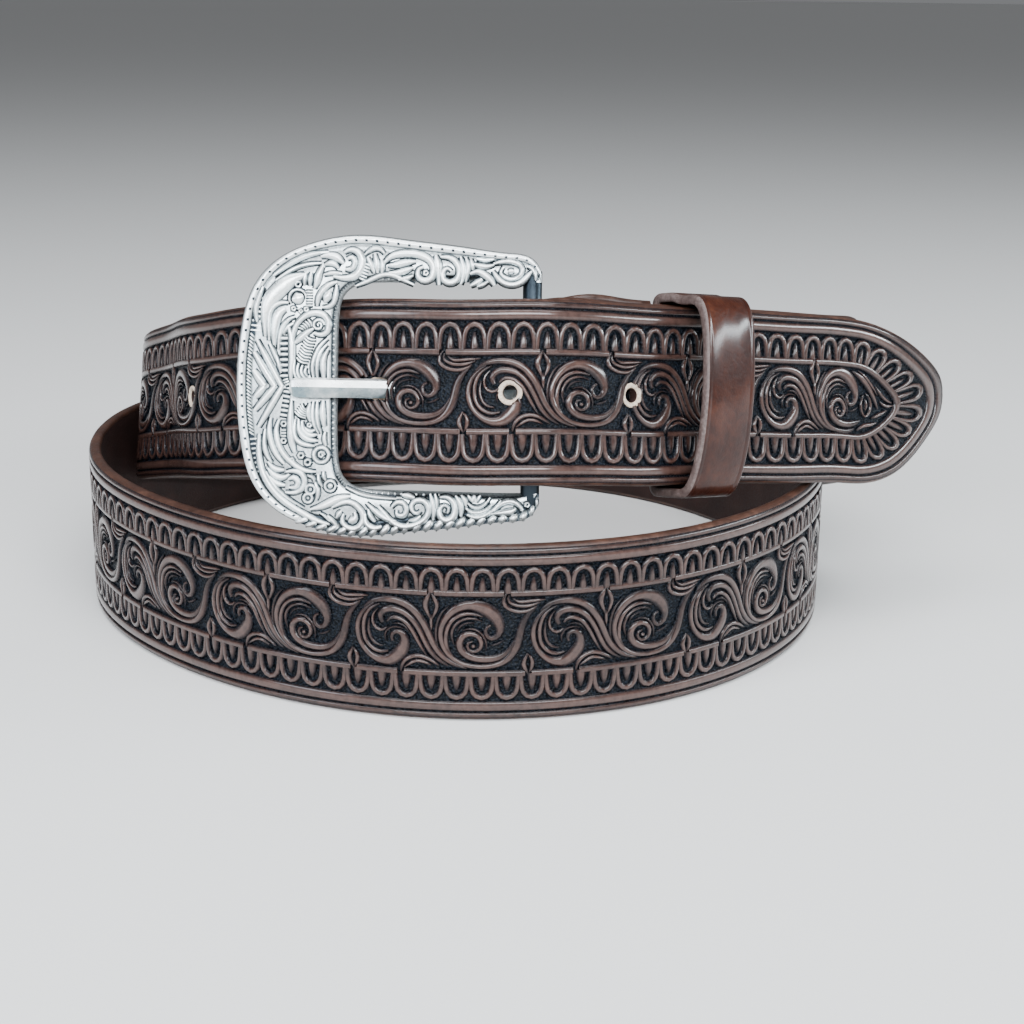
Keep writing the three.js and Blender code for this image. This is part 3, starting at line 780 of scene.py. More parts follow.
def stroke(bm, points, widths, rises, steps, sides=8, ground=GROUND, top=0.0, skirt=0.0, sunk=SUNK):
    """A closed tube along a line, as wide as its third column unless widths are given."""
    line = Spline(points)
    share = np.linspace(0, 1, steps + 1)
    place, slope = line.sample(share * line.length)
    along = unit(slope[:, :2])
    across = np.stack([-along[:, 1], along[:, 0]], 1)
    if widths:
        half = np.interp(share, np.linspace(0, 1, len(widths)), widths) / 2
    else:
        half = place[:, 2] / 2
    rise = np.interp(share, np.linspace(0, 1, len(rises)), rises) * (top - ground)
    first = len(bm.verts)
    bar_of_rings(bm, sides, steps)
    bm.verts.ensure_lookup_table()
    for v in bm.verts[first:]:
        i = round((v.co.z + 0.5) * steps)
        side, lift = v.co.x, v.co.y
        foot = lift < 0 and abs(side) > 0.5
        reach = half[i] * side + (math.copysign(skirt, side) if foot else 0)
        spot = place[i, :2] + across[i] * reach
        below = sunk if foot else SUNK
        height = ground + rise[i] * lift**0.7 if lift > 0 else ground - below
        v.co = (spot[0], spot[1], height)


# %% [markdown]
# ## The arches
# Two rows of small arches run between the beads. The upper row has a seed in each arch, the lower row
# hangs from its line as a row of cups. Both are made once and then repeated along the rails.

# %% Where each repeat of the pattern lies along the strap
REPEATS = [(-3.0, 529.9), (0, 639.53), (1, 676.08), (2.2, 719.94), (12, 1069), (13, 1107)]
REPEATS += [(13.55, 1131.4), (14.5, 1176.5), (15, 1194.6), (16, 1230.85), (18, 1306.5)]
ARCHES = [(-21, 521.7), (0, 631.43), (7, 667.98), (17, 720.2), (97, 1127), (100, 1145.5), (106, 1183.25)]
ARCHES += [(115, 1228.7), (121, 1261.05), (125, 1280.75), (131, 1314.3)]
CARVING_START = 76.0


def distance_of(count, marks):
    """Distance along the strap of a count, from a table of counts and distances, carried on past it."""
    counts, distances = np.array(marks).T
    inside = np.interp(count, counts, distances)
    first = (distances[1] - distances[0]) / (counts[1] - counts[0])
    last = (distances[-1] - distances[-2]) / (counts[-1] - counts[-2])
    below = distances[0] + (count - counts[0]) * first
    above = distances[-1] + (count - counts[-1]) * last
    return np.where(count < counts[0], below, np.where(count > counts[-1], above, inside))


ARCH_PITCH = 5.2
RIDGE_WIDTHS = (1.25, 1.35, 1.4, 1.45, 1.4, 1.35, 1.25)


def arch(ridge, seed, seed_widths, seed_steps):
    """An arch from the right half of its ridge, with a seed up its middle."""
    bm = bmesh.new()
    whole = [(-x, y) for x, y in ridge[:0:-1]] + ridge
    stroke(bm, whole, RIDGE_WIDTHS, (0.9, 1, 1, 1, 0.9), steps=12)
    stroke(bm, [(0, y) for y in seed], seed_widths, (0.6, 0.9, 0.95, 0.9), steps=seed_steps)
    return bm


UPPER_RIDGE = [(0, 5.1), (1.55, 5.9), (2.15, 7.9), (2.3, 10.3)]
LOWER_RIDGE = [(0, 5.15), (1.6, 6.0), (2.2, 8.0), (2.35, 10.6)]
UPPER_ARCH = arch(UPPER_RIDGE, (6.7, 7.7, 8.8, 10.1), (0.8, 1.3, 1.9, 2.0), 4)
LOWER_ARCH = arch(LOWER_RIDGE, (6.8, 7.7, 8.9, 10.5), (0.9, 1.8, 2.3, 2.4), 5)


def repeated(unit_bm, counts):
    """Copies of one unit in one bmesh, and the count that each vertex belongs to."""
    mesh = mesh_of("unit", unit_bm)
    each = len(mesh.vertices)
    whole = bmesh.new()
    for _ in counts:
        whole.from_mesh(mesh)
    bpy.data.meshes.remove(mesh)
    return whole, np.repeat(np.asarray(counts, float), each)


ARCH_SEARCH = range(-140, 160)
CARVING_END = rail_length - 2
arch_counts = [n for n in ARCH_SEARCH if CARVING_START < distance_of(n, ARCHES) < CARVING_END]
print("there are", len(arch_counts), "arches in each row")


def on_side(distance, offset, height, upper):
    """Places by their offset from the upper or the lower edge of the strap, bent round the route."""
    x, y = rail(distance, offset)
    return bend(np.stack([x, y if upper else STRAP_WIDTH - y, height], 1))


def arches(name, unit_bm, upper):
    bm, counts = repeated(unit_bm, arch_counts)

    def shape(flat):
        distance = distance_of(counts + flat[:, 0] / ARCH_PITCH, ARCHES)
        return on_side(distance, flat[:, 1], flat[:, 2], upper)

    finished(name, bm, [CARVED], shape)


arches("upper_arches", UPPER_ARCH, True)
arches("lower_arches", LOWER_ARCH, False)

# %% [markdown]
# ## The scrolls
# The scrollwork repeats every 36 mm or so. In each repeat one scroll opens upward and the next, a
# little narrower, is the same scroll turned over. Leaves and buds fill the gaps between them.

# %% One repeat of the scrollwork: x from the first scroll's centre, y up from the strap's middle, width
REPEAT_LENGTH = 36.4
SCROLL_UP = {
    "main": [
        (13.3, 5.9, 0.5), (11.8, 4.4, 1.2), (10.6, 2.2, 1.7), (9.9, -0.8, 1.9), (8.9, -3.6, 1.9),
        (7.2, -5.7, 1.5), (4.2, -6.9, 1.25), (1, -7.0, 1.15), (-2, -6.3, 1.15), (-4.5, -4.4, 1.2),
        (-5.9, -1.8, 1.25), (-6.1, 0.8, 1.3), (-5.2, 3.3, 1.5), (-3.3, 5.4, 1.9), (-0.6, 6.4, 2.2),
        (2.2, 6.0, 2.7), (4.5, 4.5, 2.9), (5.7, 2.7, 2.4), (6.0, 0.9, 1.7), (5.2, -0.5, 1.3),
        (4.0, -0.8, 1.1), (3.1, 0.2, 1.0), (3.2, 1.5, 0.8), (4.1, 2.1, 0.6),
    ],
    "rim": [(-6.6, -3.2, 0.4), (-7.1, -0.6, 0.65), (-6.9, 2.2, 0.65), (-5.9, 4.7, 0.6), (-4.4, 6.3, 0.3)],
    "second": [
        (-3.4, -5.3, 0.5), (-4.8, -3.0, 0.95), (-5.0, 0.2, 1.0), (-4.1, 2.7, 0.95), (-2.3, 4.2, 0.9),
        (0.3, 4.6, 0.8), (2.4, 4.0, 0.4),
    ],
    "third": [
        (-3.4, -2.2, 0.4), (-3.9, 0, 0.7), (-3.3, 1.9, 0.7), (-1.8, 3.2, 0.7), (0.3, 3.6, 0.6),
        (2.3, 3.0, 0.3),
    ],
    "fourth": [(-2.9, 0.3, 0.3), (-2.3, 1.6, 0.5), (-0.9, 2.5, 0.5), (0.9, 2.6, 0.3)],
    "volute": [
        (9.0, -1.2, 0.5), (8.0, -3.2, 1.1), (6.0, -4.9, 1.5), (3.2, -5.4, 1.7), (0.3, -5.0, 1.7),
        (-1.7, -3.7, 1.7), (-2.3, -1.9, 1.6), (-1.5, -0.3, 1.4), (0.2, 0.2, 1.2), (1.7, -0.6, 1.1),
        (2.2, -2.2, 1.0), (1.5, -3.4, 0.9), (0.3, -3.7, 0.8), (-0.6, -2.9, 0.8), (-0.5, -1.8, 0.7),
        (0.3, -1.5, 0.5),
    ],
    "eye": [(0.1, -2.55, 0.5), (0.55, -2.5, 0.95), (1.0, -2.45, 0.5)],
    "ring": [
        (3.1, -3.6, 0.3), (3.2, -1.9, 0.5), (2.6, -0.3, 0.55), (1.4, 0.9, 0.55), (-0.2, 1.3, 0.5),
        (-1.6, 0.9, 0.3),
    ],
    "tongue": [(3.8, -2.4, 0.3), (5.2, -2.1, 0.6), (6.8, -1.2, 0.3)],
}
SCROLL_DOWN = {
    "main": [
        (16.4, 6.0, 0.5), (14.5, 4.5, 0.9), (13.2, 2.4, 1.1), (12.8, 0, 1.2), (13.3, -2.5, 1.2),
        (14.8, -4.8, 1.3), (17.0, -6.2, 1.8), (19.5, -6.3, 2.5), (21.4, -5.0, 2.8), (22.6, -3.2, 2.5),
        (22.8, -1.5, 1.9), (22.0, -0.1, 1.4), (20.8, 0, 1.1), (20.1, -0.9, 0.9), (20.3, -2.0, 0.6),
    ],
    "second": [
        (17.6, 5.9, 0.4), (15.6, 4.7, 0.8), (14.4, 2.6, 0.9), (14.1, 0.2, 0.95), (14.5, -2.1, 0.95),
        (15.8, -3.8, 0.95), (17.7, -4.6, 0.9), (19.4, -4.3, 0.5),
    ],
    "third": [(15.4, 2.6, 0.4), (15.2, 0.2, 0.7), (15.6, -1.5, 0.75), (16.7, -2.9, 0.7), (18.2, -3.3, 0.4)],
    "stem": [
        (14.3, 4.9, 0.5), (15.6, 6.1, 1.0), (17.4, 6.8, 1.4), (19.6, 7.0, 1.6), (22, 6.6, 1.7),
        (24.2, 5.4, 1.7), (26.0, 3.4, 1.7), (27.4, 0.9, 1.6), (28.5, -1.7, 1.5), (29.9, -4.0, 1.4),
        (31.8, -5.8, 1.2), (34.0, -6.9, 0.8), (35.6, -7.4, 0.4),
    ],
    "volute": [
        (31.8, -6.9, 0.4), (30.2, -5.9, 0.9), (28.5, -4.3, 1.1), (27.1, -1.9, 1.15), (25.9, 0.6, 1.2),
        (24.4, 2.9, 1.3), (22.6, 4.4, 1.4), (20.5, 5.0, 1.6), (18.6, 4.6, 1.6), (17.7, 3.3, 1.4),
        (18.2, 1.9, 1.0),
    ],
    "fibre": [
        (27.4, -4.9, 0.4), (25.9, -2.3, 0.8), (24.6, 0.2, 0.95), (23.2, 2.1, 1.0), (21.5, 3.1, 1.0),
        (19.9, 3.0, 0.9), (19.2, 2.2, 0.5),
    ],
    "hair": [(24.0, -0.2, 0.3), (22.9, 1.3, 0.5), (21.5, 1.9, 0.5), (20.2, 1.7, 0.3)],
    "curl": [
        (17.3, 4.9, 0.3), (16.3, 3.6, 0.6), (16.1, 2.0, 0.65), (16.8, 0.6, 0.7), (18.1, 0.2, 0.75),
        (19.1, 0.9, 0.5),
    ],
    "ring": [(18.9, -2.2, 0.3), (18.7, -0.8, 0.5), (19.4, 0.5, 0.5), (20.9, 1.1, 0.5), (22.6, 0.8, 0.3)],
}
LEAVES = {
    "top_outer": [
        (7.5, 9.3, 0.4), (6.7, 8.0, 0.8), (6.8, 6.6, 0.95), (8.1, 5.5, 0.95), (10, 5.0, 0.9),
        (12, 5.3, 0.8), (13.5, 6.2, 0.4),
    ],
    "top_middle": [
        (7.7, 8.7, 0.4), (7.6, 7.5, 0.7), (8.7, 6.6, 0.8), (10.4, 6.2, 0.85), (12.4, 6.4, 0.8),
        (14.2, 7.0, 0.4),
    ],
    "top_inner": [(8.5, 8.0, 0.4), (9.4, 7.3, 0.7), (11.2, 7.2, 0.8), (13.4, 7.4, 0.7), (15.2, 7.5, 0.3)],
    "low_outer": [
        (-14.4, -8.6, 0.5), (-13.9, -6.7, 0.9), (-12.5, -5.4, 1.0), (-10.4, -5.0, 1.0),
        (-8.3, -5.7, 0.9), (-6.5, -6.9, 0.4),
    ],
    "low_inner": [
        (-13.7, -7.7, 0.4), (-12.5, -6.8, 0.7), (-11.2, -6.1, 0.8), (-9.7, -6.2, 0.75),
        (-8.1, -6.9, 0.35),
    ],
}
BUDS = {
    "top_left": [(-8.2, 9.3, 0.4), (-8.9, 7.9, 1.1), (-9.3, 6.4, 1.3), (-8.9, 4.9, 0.9), (-8.3, 3.4, 0.5)],
    "top_right": [(-8.1, 8.9, 0.4), (-7.4, 7.7, 0.9), (-6.9, 6.4, 1.0), (-7.2, 4.9, 0.8), (-7.9, 3.3, 0.4)],
    "top_stem": [(-8.1, 4.2, 0.5), (-8.1, 2.6, 0.8), (-8.0, 0.9, 0.3)],
    "low_left": [
        (11.9, -8.8, 0.4), (11.2, -7.5, 1.0), (10.9, -6.3, 1.1), (11.3, -5.2, 0.8), (11.7, -4.2, 0.4),
    ],
    "low_right": [
        (12.1, -8.5, 0.4), (12.6, -7.3, 0.9), (12.7, -6.2, 1.0), (12.4, -5.2, 0.7), (11.8, -4.4, 0.4),
    ],
}
REPEAT = [SCROLL_UP, SCROLL_DOWN, LEAVES, BUDS]
print("one repeat of the scrollwork has", sum(map(len, REPEAT)), "strokes")

# %% Laying the strokes on the strap
FULLNESS = 1.12
RINGS_PER_MM = 1.25
# The fine strokes that rise less than the rest
LOW_STROKES = {"hair": 0.75, "fourth": 0.7, "ring": 0.8, "rim": 0.8, "tongue": 0.7, "third": 0.88}


def drawn(bm, strokes):
    """Lays a table of strokes on the middle of the strap, with more rings on the longer ones."""
    for name, rows in strokes.items():
        points = [(x, MIDDLE + y, width * FULLNESS) for x, y, width in rows]
        length = Spline(points).length
        high = LOW_STROKES.get(name, 1.0)
        steps = max(3, round(length * RINGS_PER_MM))
        stroke(bm, points, None, (0.7 * high, high, high, high, 0.8 * high), steps=steps)


def scroll_repeat():
    bm = bmesh.new()
    for strokes in REPEAT:
        drawn(bm, strokes)
    return bm


# %% The last scroll, whose leaves run into the tip
LAST_REPEAT = 18
LAST_SCROLL = {
    "main": [(5.6, -6.3, 0.5), (4.0, -6.9, 1.2)] + SCROLL_UP["main"][7:],
    "volute": [(7.6, -4.3, 0.5)] + SCROLL_UP["volute"][2:],
    "oval": [
        (9.2, 2.2, 0.4), (10.5, 1.2, 0.7), (11.0, -0.6, 0.8), (10.4, -2.4, 0.7), (9.0, -3.2, 0.6),
        (8.0, -2.0, 0.7), (7.8, 0.0, 0.7), (8.5, 1.7, 0.4),
    ],
    "oval_seed": [(9.1, 0.8, 0.4), (9.5, -0.5, 0.9), (9.2, -1.8, 0.4)],
    "leaf": [(4.6, 6.9, 0.5), (7.2, 5.9, 1.3), (9.8, 4.0, 1.5), (12.0, 1.5, 1.2), (13.6, -1.2, 0.5)],
    "leaf_vein": [(6.6, 7.2, 0.3), (9.0, 5.9, 0.7), (11.4, 3.9, 0.7), (13.2, 2.0, 0.3)],
    "point_high": [(12.6, 3.9, 0.4), (14.4, 2.4, 0.9), (16.4, 1.1, 0.8), (18.6, 0.4, 0.4)],
    "point_middle": [(14.2, 0.6, 0.4), (15.8, -0.2, 0.8), (17.6, -0.4, 0.7), (19.2, -0.2, 0.3)],
    "point_low": [(11.4, -3.5, 0.4), (13.0, -2.9, 0.9), (14.8, -2.2, 0.9), (16.8, -1.4, 0.4)],
    "low_leaf": [(6.6, -6.7, 0.4), (8.8, -5.4, 1.0), (11.0, -5.0, 1.0), (13.2, -4.4, 0.4)],
}
BEFORE_LAST = ("low_outer", "low_inner")
BUD_BEFORE_LAST = ("top_left", "top_right", "top_stem")
print("the last scroll has", len(LAST_SCROLL), "strokes of its own")


def last_scroll():
    bm = bmesh.new()
    drawn(bm, {name: rows for name, rows in SCROLL_UP.items() if name not in LAST_SCROLL})
    drawn(bm, LAST_SCROLL)
    drawn(bm, {name: LEAVES[name] for name in BEFORE_LAST})
    drawn(bm, {name: BUDS[name] for name in BUD_BEFORE_LAST})
    return bm


# %% Strokes stop where a hole is punched through them
HOLE_MARGIN = 0.1
SLIT_MARGIN = 0.3
SIDE_MARGIN = 0.2


def open_holes(bm):
    """Takes the strokes away over the holes and the slit, closes what was cut and counts the faces."""
    inside = []
    for face in bm.faces:
        x, y, _ = face.calc_center_median()
        at_hole = any(math.hypot(x - at, y - MIDDLE) < RIM_RADIUS + HOLE_MARGIN for at in hole_list)
        at_slit = SLIT_TOP[0] - SLIT_MARGIN < x - middle_hole < SLIT_TOP[1] + SLIT_MARGIN
        at_slit = at_slit and abs(y - MIDDLE - SLIT_RISE) < SLIT_WIDTH / 2 + SIDE_MARGIN
        if at_hole or at_slit:
            inside.append(face)
    bmesh.ops.delete(bm, geom=inside, context="FACES")
    fill_open(bm)
    return len(inside)


# %% The scrollwork along both turns
# The pattern's share of its full width, by the distance along the strap
SPREAD = [(900, 0.99), (1120, 0.92), (1220, 0.92), (1330, 0.97)]
FIRST_REPEAT, SECOND_TURN_FROM = -14, 3


def laid_along(bm, owner):
    """Moves each repeat to its distance along the strap. The pattern is a little narrower near the buckle."""
    places, shares = np.array(SPREAD).T
    for v, count in zip(bm.verts, owner):
        x = float(distance_of(count + v.co.x / REPEAT_LENGTH, REPEATS))
        v.co.y = MIDDLE + (v.co.y - MIDDLE) * np.interp(x, places, shares)
        v.co.x = x


def scrollwork(name, counts, last=None):
    bm, owner = repeated(scroll_repeat(), counts)
    laid_along(bm, owner)
    if last:
        start = float(distance_of(LAST_REPEAT, REPEATS))
        bmesh.ops.translate(last, verts=last.verts, vec=(start, 0, 0))
        bm = join(bm, last)
    print("faces taken away at the holes:", open_holes(bm))
    finished(name, bm, [CARVED], bend)


scrollwork("scrollwork_first_turn", range(FIRST_REPEAT, SECOND_TURN_FROM))
scrollwork("scrollwork_second_turn", range(SECOND_TURN_FROM, LAST_REPEAT), last_scroll())

# %% [markdown]
# ## The line beads
# A round bead runs on both sides of the scrolls. Leaf tips and buds break it.

# %% Line beads, stopped at each leaf tip and bud
LINE_OFFSETS = {
    # distance along the strap, offset from the edge
    "upper": [(900, 10.2), (1120, 10.8), (1220, 10.8), (1330, 10.5)],
    "lower": [(900, 10.45), (1120, 11.1), (1220, 11.1), (1330, 10.7)],
}
LINE_WIDTH = 1.75
LINE_BREAKS = {"upper": (-8.2, 7.4), "lower": (-14.4, 11.9)}
BREAK_HALF = 0.7
LINE_STEP = 1.7


def line_bead(name, side):
    breaks = []
    for count in range(FIRST_REPEAT - 1, LAST_REPEAT + 1):
        for at in LINE_BREAKS[side]:
            breaks.append(float(distance_of(count + at / REPEAT_LENGTH, REPEATS)))
    last = float(distance_of(LAST_REPEAT, REPEATS))
    breaks = sorted(b for b in breaks if CARVING_START + 5 < b < last)
    starts = [CARVING_START] + [b + BREAK_HALF for b in breaks]
    ends = [b - BREAK_HALF for b in breaks] + [rail_length]
    bm = bmesh.new()
    for start, end in zip(starts, ends):
        steps = max(3, round((end - start) / LINE_STEP))
        points = [(start, 0), ((start + end) / 2, 0), (end, 0)]
        stroke(bm, points, (LINE_WIDTH,), (0.97,), steps=steps)

    def shape(flat):
        places, offsets = np.array(LINE_OFFSETS[side]).T
        offset = np.interp(flat[:, 0], places, offsets) + flat[:, 1]
        return on_side(flat[:, 0], offset, flat[:, 2], side == "upper")

    finished(name, bm, [CARVED], shape)


line_bead("upper_line_bead", "upper")
line_bead("lower_line_bead", "lower")

# %% [markdown]
# ## The cast buckle
# The buckle is one bright casting: a U-shaped frame with a raised rim, a hatched groove inside it and a
# panel full of scrolls. The frame is a grid bent round two rails, its outer and its inner outline, so one
# section gives the rim, the groove and the panel. The lower arm has a rope in place of its rim. The rope
# and the scrolls lie on the frame as strokes.

# %% A bright cast metal whose recesses are dark
def cast_metal(name, bright, dull, plain=False):
    """A silvery finish, dark where the relief is low; a plain one has no relief."""
    finish = Finish(name, Metallic=0.85, Specular_IOR_Level=0.6)
    grain = finish.noise(0.5, 4, 0.65)
    clouds = finish.noise(5, 3)
    pits = finish.cells(0.5)
    shown = grain * 0.3 + 0.7 if plain else finish.attribute("relief") + grain * 0.3 - 0.15
    dark = finish.mix(clouds, (0.006, 0.010, 0.016), (0.030, 0.042, 0.052))
    middle = finish.mix(grain, dull, bright)
    low = finish.mix(finish.between(shown, 0.12, 0.5), dark, middle)
    light = finish.mix(finish.between(clouds, 0.35, 0.7), bright, (0.97, 0.98, 0.96))
    colour = finish.mix(finish.between(shown, 0.5, 0.85), low, light)
    speck = finish.between(pits, 0.06, 0.16) * 0.5 + 0.5
    finish.set("Base Color", finish.mix(speck, dark, colour))
    finish.set("Roughness", finish.between(grain * 0.6 + clouds * 0.4, 0.3, 0.7, 0.24, 0.42))
    fine = finish.bump(grain, 0.25, 0.08)
    finish.set("Normal", finish.bump(clouds, 0.2, 0.4, fine))
    return finish.material


SILVER = cast_metal("bright_casting", (0.90, 0.95, 0.955), (0.46, 0.53, 0.55))
NICKEL = cast_metal("polished_nickel", (0.90, 0.93, 0.93), (0.70, 0.74, 0.75))
# A darker copy of the nickel, painted shade for the prong's lower facet
PAINTED_SHADE_NICKEL = cast_metal("painted_shade_nickel", (0.24, 0.33, 0.36), (0.10, 0.15, 0.17))
FASTENER = cast_metal("plain_nickel", (0.70, 0.70, 0.69), (0.52, 0.53, 0.53), plain=True)
print("there are", len(bpy.data.materials), "finishes now")

# %% The outline of the frame: outer and inner rail of its upper half, from the arm's end to the closed side
FRAME_RAILS = [
    # outer u, outer w, inner u, inner w
    (1.9, 21.8, 1.0, 21.8),
    (1.7, 24.4, -1.0, 21.8),
    (-0.2, 26.9, -3.0, 21.8),
    (-5, 27.9, -6.5, 21.8),
    (-14, 29.0, -14, 21.7),
    (-26, 30.3, -26, 21.5),
    (-36.5, 31.1, -34, 21.2),
    (-45.5, 29.4, -37.6, 20.0),
    (-52.2, 26.3, -39.2, 18.0),
    (-57, 21.4, -39.8, 15.5),
    (-60.2, 11.3, -40.1, 9.5),
    (-61, 0, -40.1, 0),
]
OUTLINE_RISE = 0.5
ARM_SET_BACK = 1.0
ARM_LENGTH = 40
# Where the frame is narrower than this, the offsets shrink with it
FULL_WIDTH = 7.5
upper_half = np.array(FRAME_RAILS, float)
lower_half = upper_half[-2::-1] * (1, -1, 1, -1)
frame_rails = Spline(np.vstack([upper_half, lower_half]) + (0, OUTLINE_RISE, 0, OUTLINE_RISE))
print("the frame is", round(float(frame_rails.length)), "mm round its outer edge")


def between_rails(distance, offset, from_inner=False):
    """Places on the frame, by distance along the outer rail and by offset from one of the rails."""
    rails = frame_rails.sample(distance)[0]
    outer, inner = rails[:, :2], rails[:, 2:4]
    width = np.linalg.norm(inner - outer, axis=1, keepdims=True)
    inward = (inner - outer) / width
    scaled = np.asarray(offset)[:, None] * np.minimum(1, width / FULL_WIDTH)
    return inner - inward * scaled if from_inner else outer + inward * scaled


def on_buckle(flat):
    """Places of the buckle in millimetres (u, w, v) to metres. The arms lie a little further back."""
    u, w, v = flat.T
    share = np.clip((u + ARM_LENGTH) / ARM_LENGTH, 0, 1.1)
    return (from_buckle(u, w, v - ARM_SET_BACK * share**2) + TO_BASE_MIDDLE) * MM


# %% The section of the frame: which rail, the offset from it and the height
PANEL = 2.85
FRAME_SECTION = [
    ("outer", 0.4, 0.0), ("outer", 0.0, 0.5), ("outer", 0.0, 1.6), ("outer", 0.12, 2.4),
    ("outer", 0.5, 2.98), ("outer", 1.0, 3.12), ("outer", 1.6, 2.98), ("outer", 2.0, 2.5),
    ("outer", 2.15, 2.1), ("outer", 3.0, 2.1), ("outer", 3.2, 2.6), ("outer", 3.6, PANEL),
    ("inner", 1.7, PANEL), ("inner", 1.45, 2.75), ("inner", 1.2, 2.3), ("inner", 0.5, 1.9),
    ("inner", 0.1, 1.5), ("inner", 0.0, 1.1), ("inner", 0.0, 0.5), ("inner", 0.4, 0.0),
]
# How far each height counts as standing out
FRAME_RELIEF = (
    (0, 0.5), (1.4, 0.4), (1.9, 0.28), (2.15, 0.05), (2.4, 0.14), (2.7, 0.42), (PANEL, 0.47), (3, 0.95),
)
RIM_COLUMNS = range(2, 8)
GROOVE_COLUMNS = range(8, 11)
ROPE_BED = 2.35
SHALLOW_GROOVE = 2.62
LOWER_ARM_FROM = frame_rails.length / 2 + 33
UPPER_ARM_TO = frame_rails.length / 2 - 20
FRAME_STATIONS = 300


def frame_casting():
    columns = len(FRAME_SECTION)
    bm = grid(FRAME_STATIONS + 1, columns + 1)
    verts = list(bm.verts)
    rows = np.array([round(v.co.x) for v in verts])
    which = np.array([round(v.co.y) % columns for v in verts])
    distance = rows * frame_rails.length / FRAME_STATIONS
    offset = np.array([FRAME_SECTION[i][1] for i in which])
    from_inner = np.array([FRAME_SECTION[i][0] == "inner" for i in which])
    by_inner, by_outer = between_rails(distance, offset, True), between_rails(distance, offset)
    places = np.where(from_inner[:, None], by_inner, by_outer)
    for v, place, i, at in zip(verts, places, which, distance):
        height = FRAME_SECTION[i][2]
        if i in RIM_COLUMNS and at > LOWER_ARM_FROM:
            height = min(height, ROPE_BED)
        if i in GROOVE_COLUMNS and at < UPPER_ARM_TO:
            height = SHALLOW_GROOVE
        v.co = (place[0], place[1], height)
    return closed(bm)


casting = frame_casting()
finished("buckle_casting", casting, [SILVER], on_buckle, ("buckle_frame",), FRAME_RELIEF)

# %% The heel bar between the two arms
BAR_ENDS = (-23.9, 24.9)
BAR_SIDES = 28
BAR_BEVEL = 0.4


def heel_bar():
    bm = bmesh.new()
    low, high = BAR_ENDS
    place = Matrix.Translation((0, (low + high) / 2, 0)) @ Matrix.Rotation(math.pi / 2, 4, "X")
    cylinder(bm, BAR_SIDES, BAR_RADIUS, high - low, place)
    rims = [edge for edge in bm.edges if abs(edge.verts[0].co.y - edge.verts[1].co.y) < 1e-4]
    bmesh.ops.bevel(bm, geom=rims, offset=BAR_BEVEL, segments=2, profile=0.5, affect="EDGES", material=-1)
    return bm


def upright(flat):
    return (from_buckle(*flat.T) + TO_BASE_MIDDLE) * MM


# Relief that is the same at every height, for a plain piece and for one that is dark all over as painted
# shade
PLAIN = ((-6, 0.75), (6, 0.75))
PAINTED_SHADE_RELIEF = ((-6, 0.02), (6, 0.02))
# The heel bar sits in shadow between the arms and the strap, so it is painted dark all over: painted shade
finished("heel_bar", heel_bar(), [SILVER], upright, relief_table=PAINTED_SHADE_RELIEF)

# %% [markdown]
# ## The rope, the pits and the hatching
# On the lower arm the rope runs along the outside as short slanted strands. Everywhere else the rim is
# smooth, with small dark pits. On the closed side the groove beside the rim is hatched, and small beads
# follow the inner edge. All of these are made straight, then bent along the rails.

# %% One strand, one pit, two kinds of rung and one bead, repeated along the rails
STRAND_PITCH = 2.25
LOOSE_STRAND = [(-0.95, 0.0), (-0.35, 0.65), (0.35, 1.55), (0.95, 2.15)]
RIM_PIT = [(-0.28, 1.2), (0, 1.2), (0.28, 1.2)]
SLANTED_RUNG = [(-0.42, 2.2), (0, 2.7), (0.42, 3.25)]
SQUARE_RUNG = [(0, 2.2), (0, 3.2), (0, 4.3)]
RUNG_PITCH = 0.74
GROOVE = 2.1
DARK = ((0, 0.0), (4, 0.0))
ROPE_RELIEF = ((1.9, 0.0), (2.35, 0.12), (2.75, 0.75), (3.1, 1.0))


def along_rail(name, unit_bm, places, relief_table, from_inner=False):
    """Copies of a unit at some distances along the rail, with x as distance and y as offset."""
    bm, middle = repeated(unit_bm, places)

    def shape(flat):
        spot = between_rails(middle + flat[:, 0], flat[:, 1], from_inner)
        return on_buckle(np.column_stack([spot, flat[:, 2]]))

    finished(name, bm, [SILVER], shape, relief_table=relief_table)


# Pits and strands share one spacing, which leaves a little free at both ends of the rim
RIM_END = 0.8
rope_length = frame_rails.length - 2 * RIM_END
strand_count = round(rope_length / STRAND_PITCH)
strand_places = RIM_END + (np.arange(strand_count) + 0.5) * rope_length / strand_count
on_lower_arm = strand_places > LOWER_ARM_FROM

SLANTED_COUNT = 29
SQUARE_COUNT, SQUARE_FROM, SQUARE_PITCH = 8, 11.5, 1.02
closed_middle = frame_rails.length / 2
slanted = closed_middle + (np.arange(SLANTED_COUNT) - SLANTED_COUNT // 2) * RUNG_PITCH
square_reach = [SQUARE_FROM + SQUARE_PITCH * n for n in range(SQUARE_COUNT)]
square = [closed_middle + side * reach for side in (-1, 1) for reach in square_reach]

# The line of each stroke, its widths, rises, rings, sides, foot and top
STRAND_SHAPE = (LOOSE_STRAND, (1.2, 1.65, 1.65, 1.2), (0.5, 1, 1, 0.5), 6, 8, 2.0, 3.4)
PIT_SHAPE = (RIM_PIT, (0.75,), (0.9, 1, 0.9), 2, 6, 2.9, 3.25)
SLANTED_SHAPE = (SLANTED_RUNG, (0.4,), (0.7, 1, 0.7), 2, 6, GROOVE, 2.8)
SQUARE_SHAPE = (SQUARE_RUNG, (0.5,), (0.7, 1, 0.8), 2, 6, GROOVE, 3.15)
RAIL_UNITS = [
    # name, stroke, places along the rail, relief
    ("rope_lower_arm", STRAND_SHAPE, strand_places[on_lower_arm], ROPE_RELIEF),
    ("rim_pits", PIT_SHAPE, strand_places[~on_lower_arm], DARK),
    ("groove_hatching", SLANTED_SHAPE, slanted, ROPE_RELIEF),
    ("groove_rungs", SQUARE_SHAPE, square, ROPE_RELIEF),
]
for name, shape, places, relief in RAIL_UNITS:
    unit_bm = bmesh.new()
    stroke(unit_bm, *shape)
    along_rail(name, unit_bm, places, relief)

